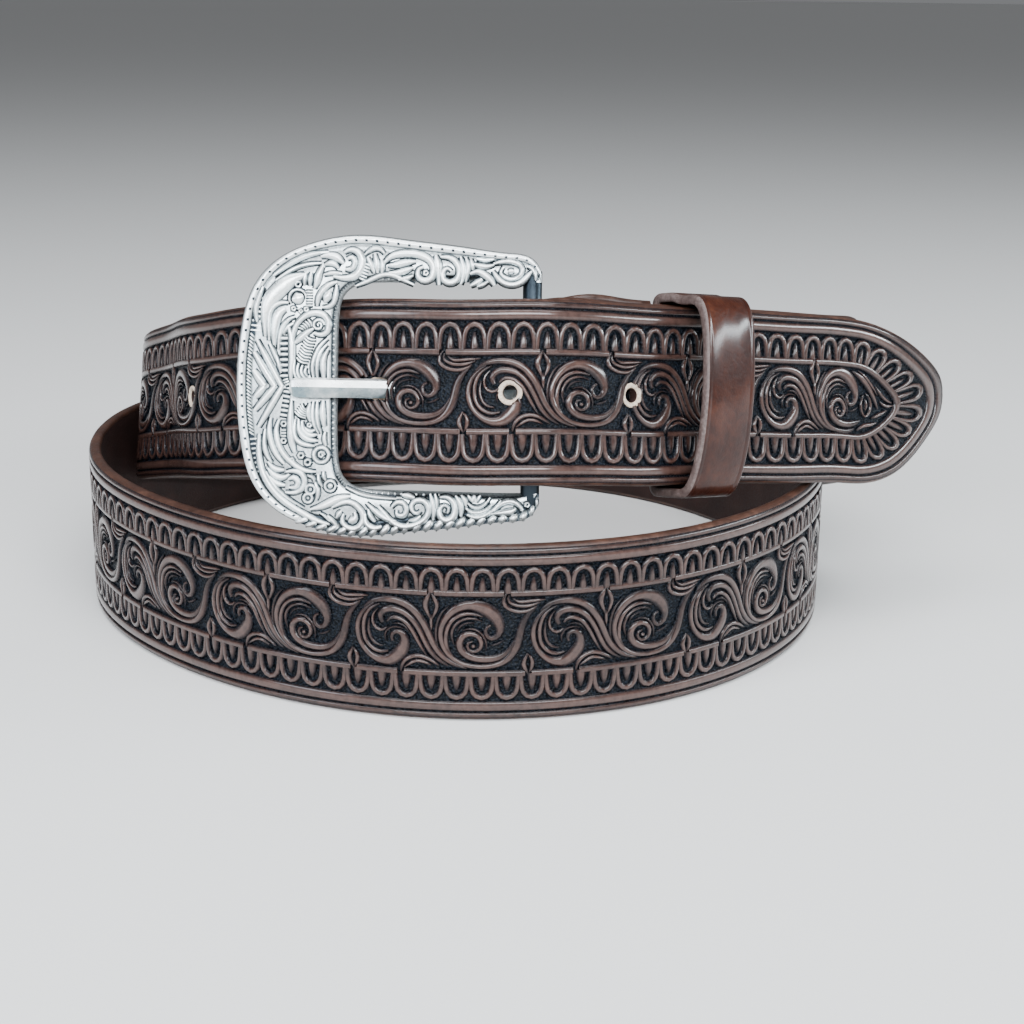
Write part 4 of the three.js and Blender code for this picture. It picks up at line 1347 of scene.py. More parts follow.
BEAD_RADIUS, BEAD_PITCH, BEADS_FROM = 0.36, 1.55, 22
BEAD_RELIEF = ((1.6, 0.1), (2.05, 0.3), (2.35, 0.85))
bead = bmesh.new()
bead_place = Matrix.Translation((0, 0.75, 2.05))
bmesh.ops.create_icosphere(bead, subdivisions=1, radius=BEAD_RADIUS, matrix=bead_place)
bead_places = np.arange(BEADS_FROM, frame_rails.length - BEADS_FROM, BEAD_PITCH)
along_rail("inner_beads", bead, bead_places, BEAD_RELIEF, from_inner=True)

# %% [markdown]
# ## The scrolls of the buckle
# The scrolls are raised strokes with a thin dark line round each, where the antiquing stays in. Every
# stroke has a skirt for that line: its foot is wider than its body and counts as low, so it turns dark.

# %% Helpers that give the strokes of spirals, rings, ladders and fans
def ring(u, w, radius, width=0.45, turns=1.0, start=0.0, end_radius=None):
    """A ring, or a spiral where it ends on another radius. Turns and start count from the right."""
    end_radius = radius if end_radius is None else end_radius
    steps = max(6, round(abs(turns) * 10))
    rows = []
    for i in range(steps + 1):
        share = i / steps
        angle = math.tau * (start + turns * share)
        reach = radius + (end_radius - radius) * share
        taper = 1 - 0.35 * share if end_radius != radius else 1
        rows.append((u + reach * math.cos(angle), w + reach * math.sin(angle), width * taper))
    return rows


def ladder(start, end, length, pitch, width=0.5):
    """Rungs set square to the line from start to end."""
    start, end = np.array(start), np.array(end)
    along = unit(end - start)
    half = np.array([-along[1], along[0]]) * length / 2
    count = max(1, round(float(np.linalg.norm(end - start)) / pitch))
    rungs = []
    for i in range(count + 1):
        middle = start + (end - start) * i / count
        rungs.append([(*(middle - half), width), (*middle, width), (*(middle + half), width)])
    return rungs


def fan(first, last, count, bow, width=0.42):
    """Curved rungs that turn from the first to the last, each bowed to its side."""
    first, last = np.array(first), np.array(last)
    rungs = []
    for i in range(count):
        begin, end = first + (last - first) * i / (count - 1)
        across = np.array([begin[1] - end[1], end[0] - begin[0]])
        middle = (begin + end) / 2 + across * bow
        rungs.append([(*begin, width * 0.8), (*middle, width), (*end, width * 0.7)])
    return rungs


def chevron(top, point, bottom, width):
    """Two straight strokes that meet in a point."""
    arms = []
    for end in (top, bottom):
        middle = ((end[0] + point[0]) / 2, (end[1] + point[1]) / 2)
        arms.append([(*end, width * 0.7), (*middle, width), (*point, width)])
    return arms


# %% The strokes of the closed side's upper half, by u to the right, w up and their width
CLOSED_UPPER = {
    "petal": [
        (-46.8, 23.2, 0.8), (-49.4, 22.2, 2.3), (-52.2, 20.0, 3.2), (-54.3, 17.4, 2.6),
        (-55.0, 13.8, 1.3), (-54.9, 10.4, 0.5),
    ],
    "petal_line": [(-43.4, 25.6, 0.4), (-46.8, 25.2, 0.6), (-49.8, 24.0, 0.6), (-52.8, 22.0, 0.4)],
    "groove_line": [(-42.0, 27.9, 0.4), (-46.0, 27.2, 0.7), (-50.0, 25.3, 0.7), (-53.3, 22.9, 0.4)],
    "outer_line": [(-55.4, 20.6, 0.4), (-56.4, 18.0, 0.7), (-56.9, 15.4, 0.7), (-56.6, 13.4, 0.4)],
    "stem_outer": [
        (-50.2, 17.4, 0.5), (-52.0, 17.3, 0.7), (-53.5, 16.3, 0.8), (-54.1, 14.6, 0.7),
        (-54.2, 12.4, 0.7), (-54.1, 9.6, 0.4),
    ],
    "stem": [
        (-50.9, 16.2, 1.2), (-52.0, 15.4, 1.7), (-52.8, 13.4, 1.5), (-53.1, 11.0, 1.2),
        (-53.0, 8.7, 0.6),
    ],
    "stem_inner": [
        (-48.7, 14.6, 0.4), (-50.2, 13.9, 0.6), (-51.4, 12.3, 0.7), (-52.0, 10.2, 0.6),
        (-52.2, 7.8, 0.4),
    ],
    "stem_edge": [(-49.2, 13.2, 0.4), (-50.4, 12.3, 0.6), (-51.2, 11.0, 0.4)],
    "disc": [(-49.4, 18.0, 0.9), (-48.3, 18.3, 2.3), (-47.2, 18.9, 0.9)],
    "disc_rim": ring(-48.3, 18.4, 1.75, 0.4, turns=-0.62, start=0.62),
    "smooth_band": [
        (-50.3, 12.8, 0.5), (-49.6, 10.6, 1.0), (-49.4, 7.8, 1.15), (-49.4, 4.8, 1.1), (-49.6, 2.4, 0.8),
        (-49.4, 0.9, 0.4),
    ],
    "leaf_left": [
        (-44.3, 16.7, 0.5), (-44.1, 18.4, 0.9), (-43.1, 20.1, 1.0), (-41.8, 21.2, 0.9),
        (-40.2, 21.8, 0.5),
    ],
    "leaf_right": [
        (-40.3, 21.2, 0.4), (-40.5, 19.3, 0.8), (-40.9, 17.6, 0.8), (-41.9, 16.7, 0.7),
        (-43.3, 16.6, 0.4),
    ],
    "leaf_heart": [(-42.7, 17.6, 0.5), (-42.3, 18.6, 1.5), (-41.7, 19.9, 0.7)],
    "scroll": [
        (-49.3, 8.9, 0.4), (-49.1, 11.3, 0.8), (-48.1, 13.5, 0.9), (-46.5, 14.9, 1.0), (-44.4, 15.4, 1.1),
        (-42.6, 14.7, 1.1), (-41.9, 13.1, 1.1), (-42.3, 11.5, 1.0), (-43.5, 10.9, 0.8), (-44.9, 11.3, 0.5),
    ],
    "scroll_tail": [(-45.0, 12.2, 0.5), (-46.4, 11.3, 1.0), (-47.8, 10.1, 1.1), (-48.9, 9.1, 0.5)],
    "scroll_eye": ring(-44.0, 12.9, 1.25, 0.55, turns=1.25, end_radius=0.5),
    "long_line": [
        (-42.0, 10.2, 0.4), (-43.6, 8.7, 0.6), (-44.7, 6.6, 0.6), (-45.2, 4.4, 0.6), (-44.9, 1.9, 0.4),
    ],
    "long_line_in": [(-42.1, 9.0, 0.4), (-43.5, 7.4, 0.6), (-44.2, 5.2, 0.6), (-44.1, 2.0, 0.4)],
    "side_band": [(-41.9, 8.0, 0.4), (-42.7, 6.6, 0.9), (-43.0, 4.6, 1.1), (-42.8, 2.0, 0.6)],
    "hook_1": [(-48.8, 5.6, 0.4), (-49.0, 3.6, 0.5), (-48.4, 1.9, 0.5), (-47.6, 1.1, 0.3)],
    "hook_2": [(-48.0, 5.0, 0.4), (-48.3, 3.5, 0.5), (-47.7, 2.0, 0.5), (-46.9, 1.3, 0.3)],
    "hook_3": [(-47.2, 4.6, 0.4), (-47.5, 3.4, 0.5), (-46.9, 2.2, 0.5), (-46.1, 1.5, 0.3)],
    "hook_4": [(-46.4, 4.2, 0.4), (-46.7, 3.3, 0.5), (-46.1, 2.3, 0.3)],
    "field_1": [(-54.0, 9.0, 0.4), (-53.0, 7.0, 0.7), (-52.4, 5.2, 0.4)],
    "field_2": [(-52.6, 6.6, 0.4), (-52.1, 4.8, 0.6), (-51.6, 3.0, 0.3)],
    "top_rib_1": [(-46.9, 21.0, 0.4), (-46.9, 22.4, 0.6), (-46.6, 23.6, 0.4)],
    "top_rib_2": [(-45.8, 20.9, 0.4), (-45.8, 22.3, 0.7), (-45.5, 23.7, 0.4)],
    "top_leaf": [(-44.9, 20.3, 0.4), (-44.3, 21.9, 1.1), (-43.9, 23.6, 1.2), (-43.2, 25.0, 0.6)],
    "top_ring": ring(-48.2, 21.2, 0.55, 0.35),
    "pellet_1": ring(-49.1, 16.2, 0.4, 0.4),
    "pellet_2": ring(-46.5, 16.1, 0.4, 0.4),
    "pellet_3": ring(-47.6, 15.7, 0.35, 0.35),
}
CLOSED_UPPER_SETS = [
    ladder((-45.9, 19.7), (-45.9, 16.9), 1.5, 0.62, 0.36),
    ladder((-51.1, 10.1), (-51.0, 2.4), 1.6, 1.03),
    ladder((-50.7, 1.6), (-50.3, 0.6), 1.1, 0.7, 0.4),
    fan(((-46.6, 10.7), (-44.4, 9.9)), ((-48.4, 6.2), (-46.1, 5.0)), 9, -0.16),
    fan(((-48.1, 12.3), (-47.0, 11.8)), ((-46.2, 14.1), (-45.3, 12.6)), 5, 0.1, 0.4),
    chevron((-57.2, 7.2), (-52.9, 0.15), (-57.0, -4.8), 1.15),
    chevron((-56.6, 9.7), (-51.4, 0.1), (-56.2, -8.2), 1.0),
    chevron((-57.3, 3.5), (-55.1, 0.2), (-57.0, -2.2), 1.3),
]
print("strokes:", len(CLOSED_UPPER), "and sets of rungs:", len(CLOSED_UPPER_SETS))

# %% The strokes of the closed side's lower half
CLOSED_LOWER = {
    "smooth_band": [
        (-49.4, -2.6, 0.4), (-49.6, -5.4, 1.0), (-49.6, -8.4, 1.2), (-49.3, -11.4, 1.2),
        (-48.7, -13.4, 0.6),
    ],
    "crescent_1": [(-46.6, -8.2, 0.3), (-45.8, -8.9, 0.7), (-44.6, -8.7, 0.3)],
    "crescent_2": [(-47.2, -6.9, 0.4), (-46.9, -8.7, 0.8), (-45.5, -9.8, 0.8), (-44.1, -9.6, 0.4)],
    "crescent_3": [(-47.9, -6.5, 0.4), (-47.8, -8.8, 0.8), (-46.3, -10.5, 0.9), (-43.8, -10.9, 0.4)],
    "crescent_4": [
        (-48.6, -6.6, 0.4), (-48.8, -9.0, 0.6), (-48.1, -11.0, 0.7), (-46.4, -11.8, 0.7),
        (-44.6, -12.0, 0.4),
    ],
    "swirl_dot": ring(-45.7, -7.7, 0.4, 0.4),
    "upright_1": [(-45.6, -3.2, 0.5), (-46.0, -5.3, 0.8), (-45.5, -7.0, 0.4)],
    "upright_2": [(-44.9, -2.8, 0.4), (-45.1, -5.1, 0.6), (-44.7, -7.7, 0.5), (-43.8, -9.4, 0.3)],
    "upright_3": [(-44.1, -2.8, 0.4), (-44.2, -5.1, 0.6), (-43.8, -7.8, 0.5), (-43.2, -9.4, 0.3)],
    "upright_4": [(-42.9, -2.6, 0.5), (-43.0, -5.0, 1.1), (-42.6, -8.0, 0.6)],
    "side_rim": [(-42.4, -9.0, 0.4), (-42.6, -10.8, 0.7), (-42.2, -12.0, 0.4)],
    "ring": ring(-43.2, -13.8, 1.55, 0.6),
    "ring_heart": ring(-43.2, -13.8, 0.7, 0.45, turns=1.2, end_radius=0.3),
    "chain_1": ring(-51.0, -7.5, 0.5, 0.36),
    "chain_2": ring(-51.0, -11.0, 0.5, 0.36),
    "chain_3": ring(-49.3, -15.0, 0.45, 0.36),
    "chain_4": ring(-47.4, -14.0, 0.55, 0.4),
    "chain_5": ring(-46.0, -15.4, 0.6, 0.4),
    "sweep_1": [
        (-51.9, -6.6, 0.4), (-52.5, -8.6, 0.8), (-52.2, -11.2, 0.9), (-50.9, -13.8, 0.9), (-49.0, -15.7, 0.9),
        (-46.8, -17.0, 0.8), (-44.2, -17.3, 0.4),
    ],
    "sweep_2": [
        (-53.6, -6.2, 0.4), (-54.0, -8.4, 0.8), (-53.6, -11.2, 0.9), (-52.4, -13.9, 0.9),
        (-50.8, -15.8, 0.5),
    ],
    "sweep_3": [(-54.8, -8.6, 0.4), (-55.0, -11.2, 0.6), (-54.6, -13.6, 0.7), (-53.4, -15.6, 0.4)],
    "groove_band": [
        (-56.0, -9.6, 0.5), (-56.1, -13.0, 0.9), (-55.4, -17.0, 1.0), (-53.4, -20.8, 1.1),
        (-50.6, -23.6, 1.1), (-46.8, -26.0, 1.0), (-43.6, -27.6, 0.8), (-41.4, -28.2, 0.4),
    ],
    "inner_band": [(-54.6, -17.4, 0.4), (-52.8, -20.2, 0.5), (-50.2, -22.7, 0.5), (-46.6, -24.9, 0.3)],
    "lobe_1": [(-54.2, -15.4, 0.4), (-52.8, -16.8, 0.9), (-50.8, -17.0, 0.5)],
    "lobe_2": [(-54.2, -16.7, 0.4), (-52.8, -18.2, 1.0), (-51.0, -18.6, 0.9), (-49.8, -17.9, 0.4)],
    "lobe_3": [(-53.8, -18.4, 0.4), (-52.4, -19.8, 0.9), (-50.6, -20.2, 0.5)],
    "leaf_rim": [
        (-50.4, -17.4, 0.4), (-48.7, -17.2, 0.8), (-47.2, -17.8, 0.9), (-46.6, -19.4, 0.9),
        (-47.2, -20.9, 0.8), (-48.8, -21.7, 0.7), (-50.6, -21.6, 0.4),
    ],
    "leaf_heart": [
        (-50.0, -19.0, 0.4), (-48.9, -18.6, 0.9), (-48.0, -19.4, 0.9), (-48.4, -20.5, 0.8),
        (-49.8, -20.6, 0.4),
    ],
    "eight_top": ring(-45.4, -21.0, 0.95, 0.5),
    "eight_low": ring(-45.9, -22.8, 0.9, 0.5),
    "eight_side": [(-44.4, -19.6, 0.4), (-43.8, -21.4, 0.7), (-44.2, -23.2, 0.4)],
    "cluster_1": [(-43.8, -17.9, 0.4), (-43.6, -19.2, 0.6), (-42.9, -20.4, 0.3)],
    "cluster_2": [(-42.7, -17.2, 0.4), (-42.6, -18.4, 0.6), (-42.2, -19.1, 0.3)],
    "cluster_3": [(-45.8, -18.2, 0.4), (-44.8, -18.6, 0.6), (-44.6, -19.4, 0.3)],
    "pearl": ring(-41.3, -20.2, 1.1, 0.5),
    "pearl_heart": [(-41.8, -20.2, 0.5), (-41.3, -20.2, 0.9), (-40.8, -20.2, 0.5)],
    "leaf_bar": [
        (-45.4, -25.1, 0.4), (-43.4, -24.6, 1.1), (-41.4, -23.7, 1.5), (-39.4, -22.8, 1.3),
        (-37.0, -22.3, 0.5),
    ],
    "scroll": [
        (-40.9, -24.7, 0.4), (-39.4, -23.9, 0.8), (-37.4, -23.5, 0.9), (-35.6, -24.4, 1.0),
        (-34.5, -26.0, 1.0), (-34.7, -27.9, 1.0), (-36.2, -29.1, 1.0), (-38.0, -28.6, 0.9),
        (-38.8, -27.2, 0.7), (-38.4, -26.0, 0.5),
    ],
    "scroll_eye": [(-37.4, -27.5, 0.6), (-36.7, -27.3, 1.6), (-36.0, -26.7, 0.9), (-36.2, -25.6, 0.5)],
    "drop": [(-39.9, -26.8, 0.4), (-39.5, -26.0, 0.9), (-38.9, -25.3, 0.4)],
    "drop_low": [(-41.8, -26.4, 0.4), (-40.9, -27.3, 0.8), (-39.9, -28.4, 0.4)],
    "fibre_1": [(-43.4, -25.8, 0.3), (-42.2, -26.6, 0.5), (-41.3, -27.6, 0.3)],
}
CLOSED_LOWER_SETS = [
    ladder((-50.3, -0.9), (-51.1, -5.7), 1.5, 1.0),
    ladder((-51.0, -8.8), (-51.0, -10.0), 1.0, 0.6, 0.36),
    fan(((-47.3, -3.2), (-46.4, -4.6)), ((-48.7, -4.9), (-46.4, -6.3)), 5, -0.12),
]
print("strokes:", len(CLOSED_LOWER), "and sets of rungs:", len(CLOSED_LOWER_SETS))

# %% The strokes of the upper arm
UPPER_ARM = {
    "corner_leaf": [(-43.6, 26.9, 0.5), (-41.8, 27.2, 1.2), (-40.0, 26.6, 1.4), (-38.9, 25.6, 0.6)],
    "corner_leaf_low": [(-42.9, 25.2, 0.4), (-41.2, 25.6, 1.0), (-39.9, 24.6, 0.5)],
    "corner_line": [(-43.0, 23.2, 0.4), (-41.0, 23.6, 0.7), (-39.2, 23.5, 0.4)],
    "corner_scroll": [
        (-41.0, 22.9, 0.5), (-38.8, 22.6, 1.0), (-36.8, 23.0, 1.3), (-35.4, 24.5, 1.4), (-35.1, 26.4, 1.3),
        (-35.9, 27.9, 1.1), (-37.6, 28.4, 0.8), (-38.8, 27.8, 0.5),
    ],
    "corner_eye": [
        (-38.6, 24.4, 0.5), (-37.3, 24.5, 0.9), (-36.6, 25.6, 0.9), (-37.1, 26.8, 0.9),
        (-38.2, 26.5, 0.5),
    ],
    "finger_1": [(-32.6, 23.7, 0.4), (-33.2, 25.3, 0.9), (-34.0, 26.9, 0.5)],
    "finger_2": [(-31.9, 23.7, 0.5), (-32.1, 25.6, 1.0), (-32.5, 27.7, 0.5)],
    "finger_3": [(-31.1, 23.7, 0.4), (-30.9, 25.0, 0.8), (-31.1, 26.6, 0.4)],
    "finger_arc": [(-34.6, 27.4, 0.4), (-33.2, 28.5, 0.7), (-31.7, 28.7, 0.7), (-30.5, 27.7, 0.4)],
    "sweep": [
        (-30.8, 25.6, 0.5), (-29.4, 27.0, 1.0), (-27.2, 27.7, 1.3), (-24.8, 27.8, 1.3), (-22.6, 27.3, 1.3),
        (-20.9, 26.1, 1.3), (-20.4, 24.3, 1.2), (-21.0, 22.8, 1.2), (-22.4, 22.3, 1.1), (-23.6, 23.2, 0.9),
        (-23.5, 24.6, 0.7), (-22.5, 25.1, 0.5),
    ],
    "sweep_eye": ring(-22.0, 23.9, 0.45, 0.4),
    "sweep_leaf": [
        (-29.9, 25.3, 0.4), (-28.4, 25.4, 1.0), (-26.8, 25.8, 1.2), (-25.2, 26.1, 0.9),
        (-24.0, 26.2, 0.4),
    ],
    "sweep_leaf_low": [(-29.6, 23.9, 0.4), (-27.8, 23.8, 1.0), (-26.0, 24.4, 1.0), (-24.6, 24.9, 0.4)],
    "sweep_drop": [(-27.6, 22.4, 0.4), (-26.1, 22.7, 0.8), (-24.6, 23.3, 0.4)],
    "scallop": [
        (-36.4, 21.0, 0.4), (-33.6, 22.2, 0.7), (-31.4, 23.2, 0.7), (-29.2, 23.4, 0.7),
        (-27.0, 22.6, 0.7), (-24.4, 21.4, 0.4),
    ],
    "upright": [(-20.0, 27.6, 0.5), (-19.6, 25.8, 1.5), (-19.4, 23.6, 0.9), (-19.3, 21.4, 0.6)],
    "scroll": [
        (-18.9, 27.2, 0.5), (-17.0, 27.0, 0.9), (-15.6, 25.9, 1.1), (-15.1, 24.1, 1.1), (-15.7, 22.5, 1.2),
        (-17.1, 21.9, 1.2), (-18.4, 22.7, 1.0), (-18.5, 24.1, 0.8), (-17.6, 24.9, 0.6), (-16.7, 24.3, 0.4),
    ],
    "strand_1": [(-14.9, 27.3, 0.4), (-14.3, 25.3, 0.9), (-14.3, 23.2, 0.8), (-14.8, 21.6, 0.5)],
    "strand_2": [(-13.8, 27.2, 0.4), (-13.3, 25.3, 0.8), (-13.5, 23.5, 0.6), (-13.8, 22.2, 0.3)],
    "strand_3": [(-12.8, 26.9, 0.4), (-12.4, 25.6, 0.7), (-12.4, 24.6, 0.3)],
    "paw": [(-12.9, 23.8, 0.5), (-11.4, 24.3, 0.9), (-9.8, 23.6, 1.2), (-8.5, 22.5, 1.1), (-7.9, 21.5, 0.7)],
    "paw_toe_1": [(-12.8, 21.4, 0.6), (-11.6, 22.0, 0.9), (-10.4, 22.8, 0.6)],
    "paw_toe_2": [(-11.4, 21.2, 0.5), (-10.3, 21.6, 0.7), (-9.2, 22.3, 0.4)],
    "paw_back": [(-12.4, 25.9, 0.4), (-10.8, 25.5, 0.9), (-9.2, 25.4, 0.8), (-8.0, 25.8, 0.4)],
    "paw_line": [(-11.6, 27.0, 0.4), (-9.8, 26.7, 0.6), (-8.0, 26.9, 0.3)],
    "oval": [
        (-8.2, 24.6, 0.4), (-7.2, 23.1, 0.9), (-5.8, 22.0, 1.0), (-4.2, 21.7, 1.0), (-2.5, 22.2, 1.0),
        (-1.2, 23.4, 0.9), (-0.2, 24.6, 0.4),
    ],
    "oval_arc": [
        (-8.0, 26.0, 0.4), (-5.6, 26.5, 0.8), (-3.4, 26.2, 0.8), (-2.2, 25.2, 0.8), (-2.5, 23.8, 0.7),
        (-3.9, 23.0, 0.6), (-5.6, 23.2, 0.6), (-6.6, 24.3, 0.5), (-6.0, 25.3, 0.4),
    ],
    "oval_eye": [(-5.2, 24.4, 0.4), (-4.5, 24.5, 1.0), (-3.8, 24.6, 0.4)],
    "end_leaf": [(-1.2, 25.6, 0.4), (-0.1, 25.1, 0.7), (0.5, 23.9, 0.6), (0.6, 22.7, 0.3)],
}
UPPER_ARM_SETS = [ladder((-33.9, 25.4), (-35.0, 22.4), 1.4, 0.7, 0.4)]
print("strokes:", len(UPPER_ARM), "and sets of rungs:", len(UPPER_ARM_SETS))

# %% The strokes of the lower arm
LOWER_ARM = {
    "window_line": [(-38.0, -20.4, 0.4), (-35.2, -21.7, 0.6), (-31.6, -22.4, 0.6), (-27.6, -22.7, 0.4)],
    "bright_line": [(-33.8, -23.6, 0.4), (-31.6, -25.6, 0.9), (-29.6, -26.9, 0.8), (-27.6, -27.4, 0.4)],
    "curl_rim": [(-34.0, -25.9, 0.4), (-33.8, -27.8, 0.9), (-32.4, -28.9, 1.1), (-30.6, -28.5, 0.6)],
    "curl_strand": [(-33.4, -24.9, 0.3), (-32.8, -26.5, 0.7), (-31.9, -27.5, 0.4)],
    "sweep": [
        (-31.4, -24.2, 0.5), (-29.8, -26.0, 0.9), (-28.2, -27.7, 1.0), (-26.2, -28.5, 1.0),
        (-24.0, -28.2, 1.0), (-22.0, -27.1, 1.0), (-20.9, -25.3, 1.0), (-21.3, -23.6, 1.1),
        (-22.8, -22.9, 1.0), (-24.2, -23.5, 0.8), (-24.4, -24.9, 0.7), (-23.4, -25.7, 0.6),
        (-22.5, -25.1, 0.5),
    ],
    "small_scroll": [
        (-28.6, -24.6, 0.4), (-27.6, -23.5, 0.8), (-26.2, -23.6, 0.8), (-25.5, -24.9, 0.8),
        (-26.2, -26.2, 0.8), (-27.4, -26.0, 0.6), (-27.5, -25.0, 0.4),
    ],
    "low_fibre": [(-25.0, -27.2, 0.3), (-23.6, -26.9, 0.6), (-22.6, -26.2, 0.3)],
    "bright_leaf": [(-26.4, -21.9, 0.5), (-25.0, -22.1, 1.1), (-23.8, -22.4, 0.5)],
    "strand_1": [(-20.6, -21.6, 0.4), (-20.1, -23.4, 0.8), (-19.8, -25.4, 0.7), (-20.0, -27.0, 0.4)],
    "strand_2": [(-19.6, -21.6, 0.4), (-19.2, -23.2, 0.6), (-19.2, -24.6, 0.3)],
    "scroll": [
        (-18.6, -22.3, 0.4), (-17.2, -22.2, 0.9), (-15.9, -23.1, 1.0), (-15.4, -24.8, 1.1),
        (-15.9, -26.4, 1.2), (-17.3, -27.1, 1.2), (-18.5, -26.2, 1.0), (-18.6, -24.8, 0.8),
        (-17.7, -23.9, 0.6), (-16.8, -24.5, 0.5), (-17.0, -25.5, 0.4),
    ],
    "leaf_1": [(-15.3, -21.9, 0.4), (-14.5, -23.2, 1.0), (-14.1, -24.8, 0.9), (-14.2, -26.2, 0.5)],
    "leaf_2": [(-14.1, -21.8, 0.4), (-13.3, -23.0, 0.8), (-13.2, -24.0, 0.4)],
    "bud": [(-11.5, -21.7, 0.5), (-11.5, -22.5, 1.0), (-11.4, -23.2, 0.4)],
    "bud_leaf_1": [(-12.8, -21.8, 0.3), (-12.2, -22.5, 0.6), (-11.8, -23.2, 0.3)],
    "bud_leaf_2": [(-10.2, -21.8, 0.3), (-10.7, -22.5, 0.6), (-11.1, -23.2, 0.3)],
    "cup_1": [
        (-12.8, -23.4, 0.3), (-11.7, -24.2, 0.6), (-10.3, -24.2, 0.6), (-8.9, -23.2, 0.4),
        (-8.2, -22.2, 0.3),
    ],
    "cup_2": [
        (-13.1, -24.5, 0.4), (-12.2, -25.2, 0.7), (-10.8, -25.4, 0.8), (-9.2, -24.9, 0.7),
        (-7.8, -23.6, 0.4),
    ],
    "cup_3": [
        (-12.9, -25.8, 0.4), (-11.8, -26.3, 0.8), (-10.3, -26.3, 0.9), (-8.8, -25.7, 0.7),
        (-7.2, -24.4, 0.5), (-6.0, -22.8, 0.3),
    ],
    "arch": [
        (-7.4, -25.0, 0.4), (-6.3, -23.8, 0.8), (-4.8, -23.0, 1.0), (-3.2, -23.1, 1.0),
        (-1.9, -24.1, 0.7), (-1.4, -24.9, 0.4),
    ],
    "arch_lobe": [
        (-8.0, -25.6, 0.4), (-6.3, -25.4, 0.8), (-4.8, -25.2, 1.3), (-3.5, -24.9, 1.2),
        (-2.9, -24.4, 0.5),
    ],
    "arch_vein": [(-5.9, -24.6, 0.3), (-4.7, -24.0, 0.5), (-3.4, -24.0, 0.3)],
    "end_ring": ring(-0.5, -23.6, 0.45, 0.4),
}
print("strokes:", len(LOWER_ARM))


# %% Laying the strokes on the panel
SCROLL_TOP = 3.62
FINE_WIDTH, FINE_DROP = 0.6, 0.12
ENGRAVED_RINGS_PER_MM = 1.9
SKIRT = 0.4
SKIRT_RISE = 0.03
SCROLL_RELIEF = ((2.98, 0.0), (3.18, 0.3), (3.38, 0.85), (3.5, 1.0))


def engraved(name, table, sets=()):
    """One piece from a table of strokes and from sets of strokes. The fine ones are a little lower."""
    bm = bmesh.new()
    for rows in [*table.values(), *(line for group in sets for line in group)]:
        fine = max(row[2] for row in rows) < FINE_WIDTH
        top = SCROLL_TOP - (FINE_DROP if fine else 0)
        steps = max(3, round(Spline(rows).length * ENGRAVED_RINGS_PER_MM))
        rises = (0.75, 1, 1, 0.8)
        stroke(bm, rows, None, rises, steps, ground=PANEL, top=top, skirt=SKIRT, sunk=-SKIRT_RISE)
    finished(name, bm, [SILVER], on_buckle, relief_table=SCROLL_RELIEF)


engraved("closed_side_scrolls_upper", CLOSED_UPPER, CLOSED_UPPER_SETS)
engraved("closed_side_scrolls_lower", CLOSED_LOWER, CLOSED_LOWER_SETS)
engraved("upper_arm_scrolls", UPPER_ARM, UPPER_ARM_SETS)
engraved("lower_arm_scrolls", LOWER_ARM)

# %% [markdown]
# ## The prong
# The prong is a faceted bar with a ridge along its top and an eye round the heel bar. The bar is a capped
# cylinder cut into rings, and each ring takes the eight-sided section of its place. The eye is a small
# bevelled profile, spun once round the bar.

# %% The prong's bar and its eye
PRONG_HALF = 2.0
PRONG_ROWS = [
    # u, top, underside, half of the width
    (-49.7, 4.7, 4.2, 1.0),
    (-49.3, 5.45, 3.88, 1.6),
    (-48.4, 5.9, 3.85, 1.95),
    (-47.0, 6.15, 3.85, PRONG_HALF),
    (-40.7, 6.25, 3.85, PRONG_HALF),
    (-37.2, 5.3, 2.8, PRONG_HALF),
    (-32.6, 4.0, 1.5, PRONG_HALF),
    (-27.6, 3.0, 0.5, PRONG_HALF),
    (-21.5, 2.45, -0.05, PRONG_HALF),
    (-14.0, 2.35, -0.35, PRONG_HALF),
    (-6.0, 2.6, -0.6, PRONG_HALF),
    (-3.0, 2.9, -0.7, PRONG_HALF),
]
# Across the prong and up it, going round from the right
PRONG_SECTION = [(1, 0.55), (0.78, 0.88), (0.05, 1), (-0.72, 0.58), (-1, 0.36), (-1, 0.1), (0, 0), (1, 0.1)]
EYE_THICKNESS = 1.7
PRONG_RINGS = 48
# More than 1 sets the rings closer together at the tip
PRONG_CROWDING = 1.15
EYE_SIDES = 40
BORE_BEVEL, RIM_BEVEL = 0.3, 0.5


def prong_bar():
    bm = bmesh.new()
    sides = len(PRONG_SECTION)
    bar_of_rings(bm, sides, PRONG_RINGS)
    line = Spline(PRONG_ROWS, columns=1)
    for v in bm.verts:
        share = v.co.z + 0.5
        corner = round(math.atan2(v.co.y, v.co.x) / math.tau * sides - 0.5) % sides
        (u, top, under, half), _ = line.sample(share**PRONG_CROWDING * line.length)
        across, up = PRONG_SECTION[corner]
        v.co = (u, across * half, under + up * (top - under))
    bmesh.ops.recalc_face_normals(bm, faces=bm.faces)
    bm.normal_update()
    # The facet that looks down and forward from the ridge gets a darker copy of the nickel: painted shade
    for face in bm.faces:
        face.material_index = int(face.normal.y < -0.3 and face.normal.z > 0.1)
    return bm


def prong_eye():
    bm = bmesh.new()
    inner = BAR_RADIUS + BAR_CLEARANCE
    outer = inner + EYE_THICKNESS
    half = PRONG_HALF
    one_side = [
        (inner, half - BORE_BEVEL, 0),
        (inner + BORE_BEVEL, half, 0),
        (outer - RIM_BEVEL, half, 0),
        (outer, half - RIM_BEVEL, 0),
    ]
    other_side = [(radius, -across, 0) for radius, across, _ in one_side[::-1]]
    ring_of(bm, one_side + other_side, (0, 0, 0), (0, 1, 0), EYE_SIDES)
    return closed(bm)


PRONG_SHARP_FROM = 24
prong_bm = join(prong_bar(), prong_eye())
prong_looks = [NICKEL, PAINTED_SHADE_NICKEL]
finished("polished_prong", prong_bm, prong_looks, upright, ("prong",), PLAIN, PRONG_SHARP_FROM)

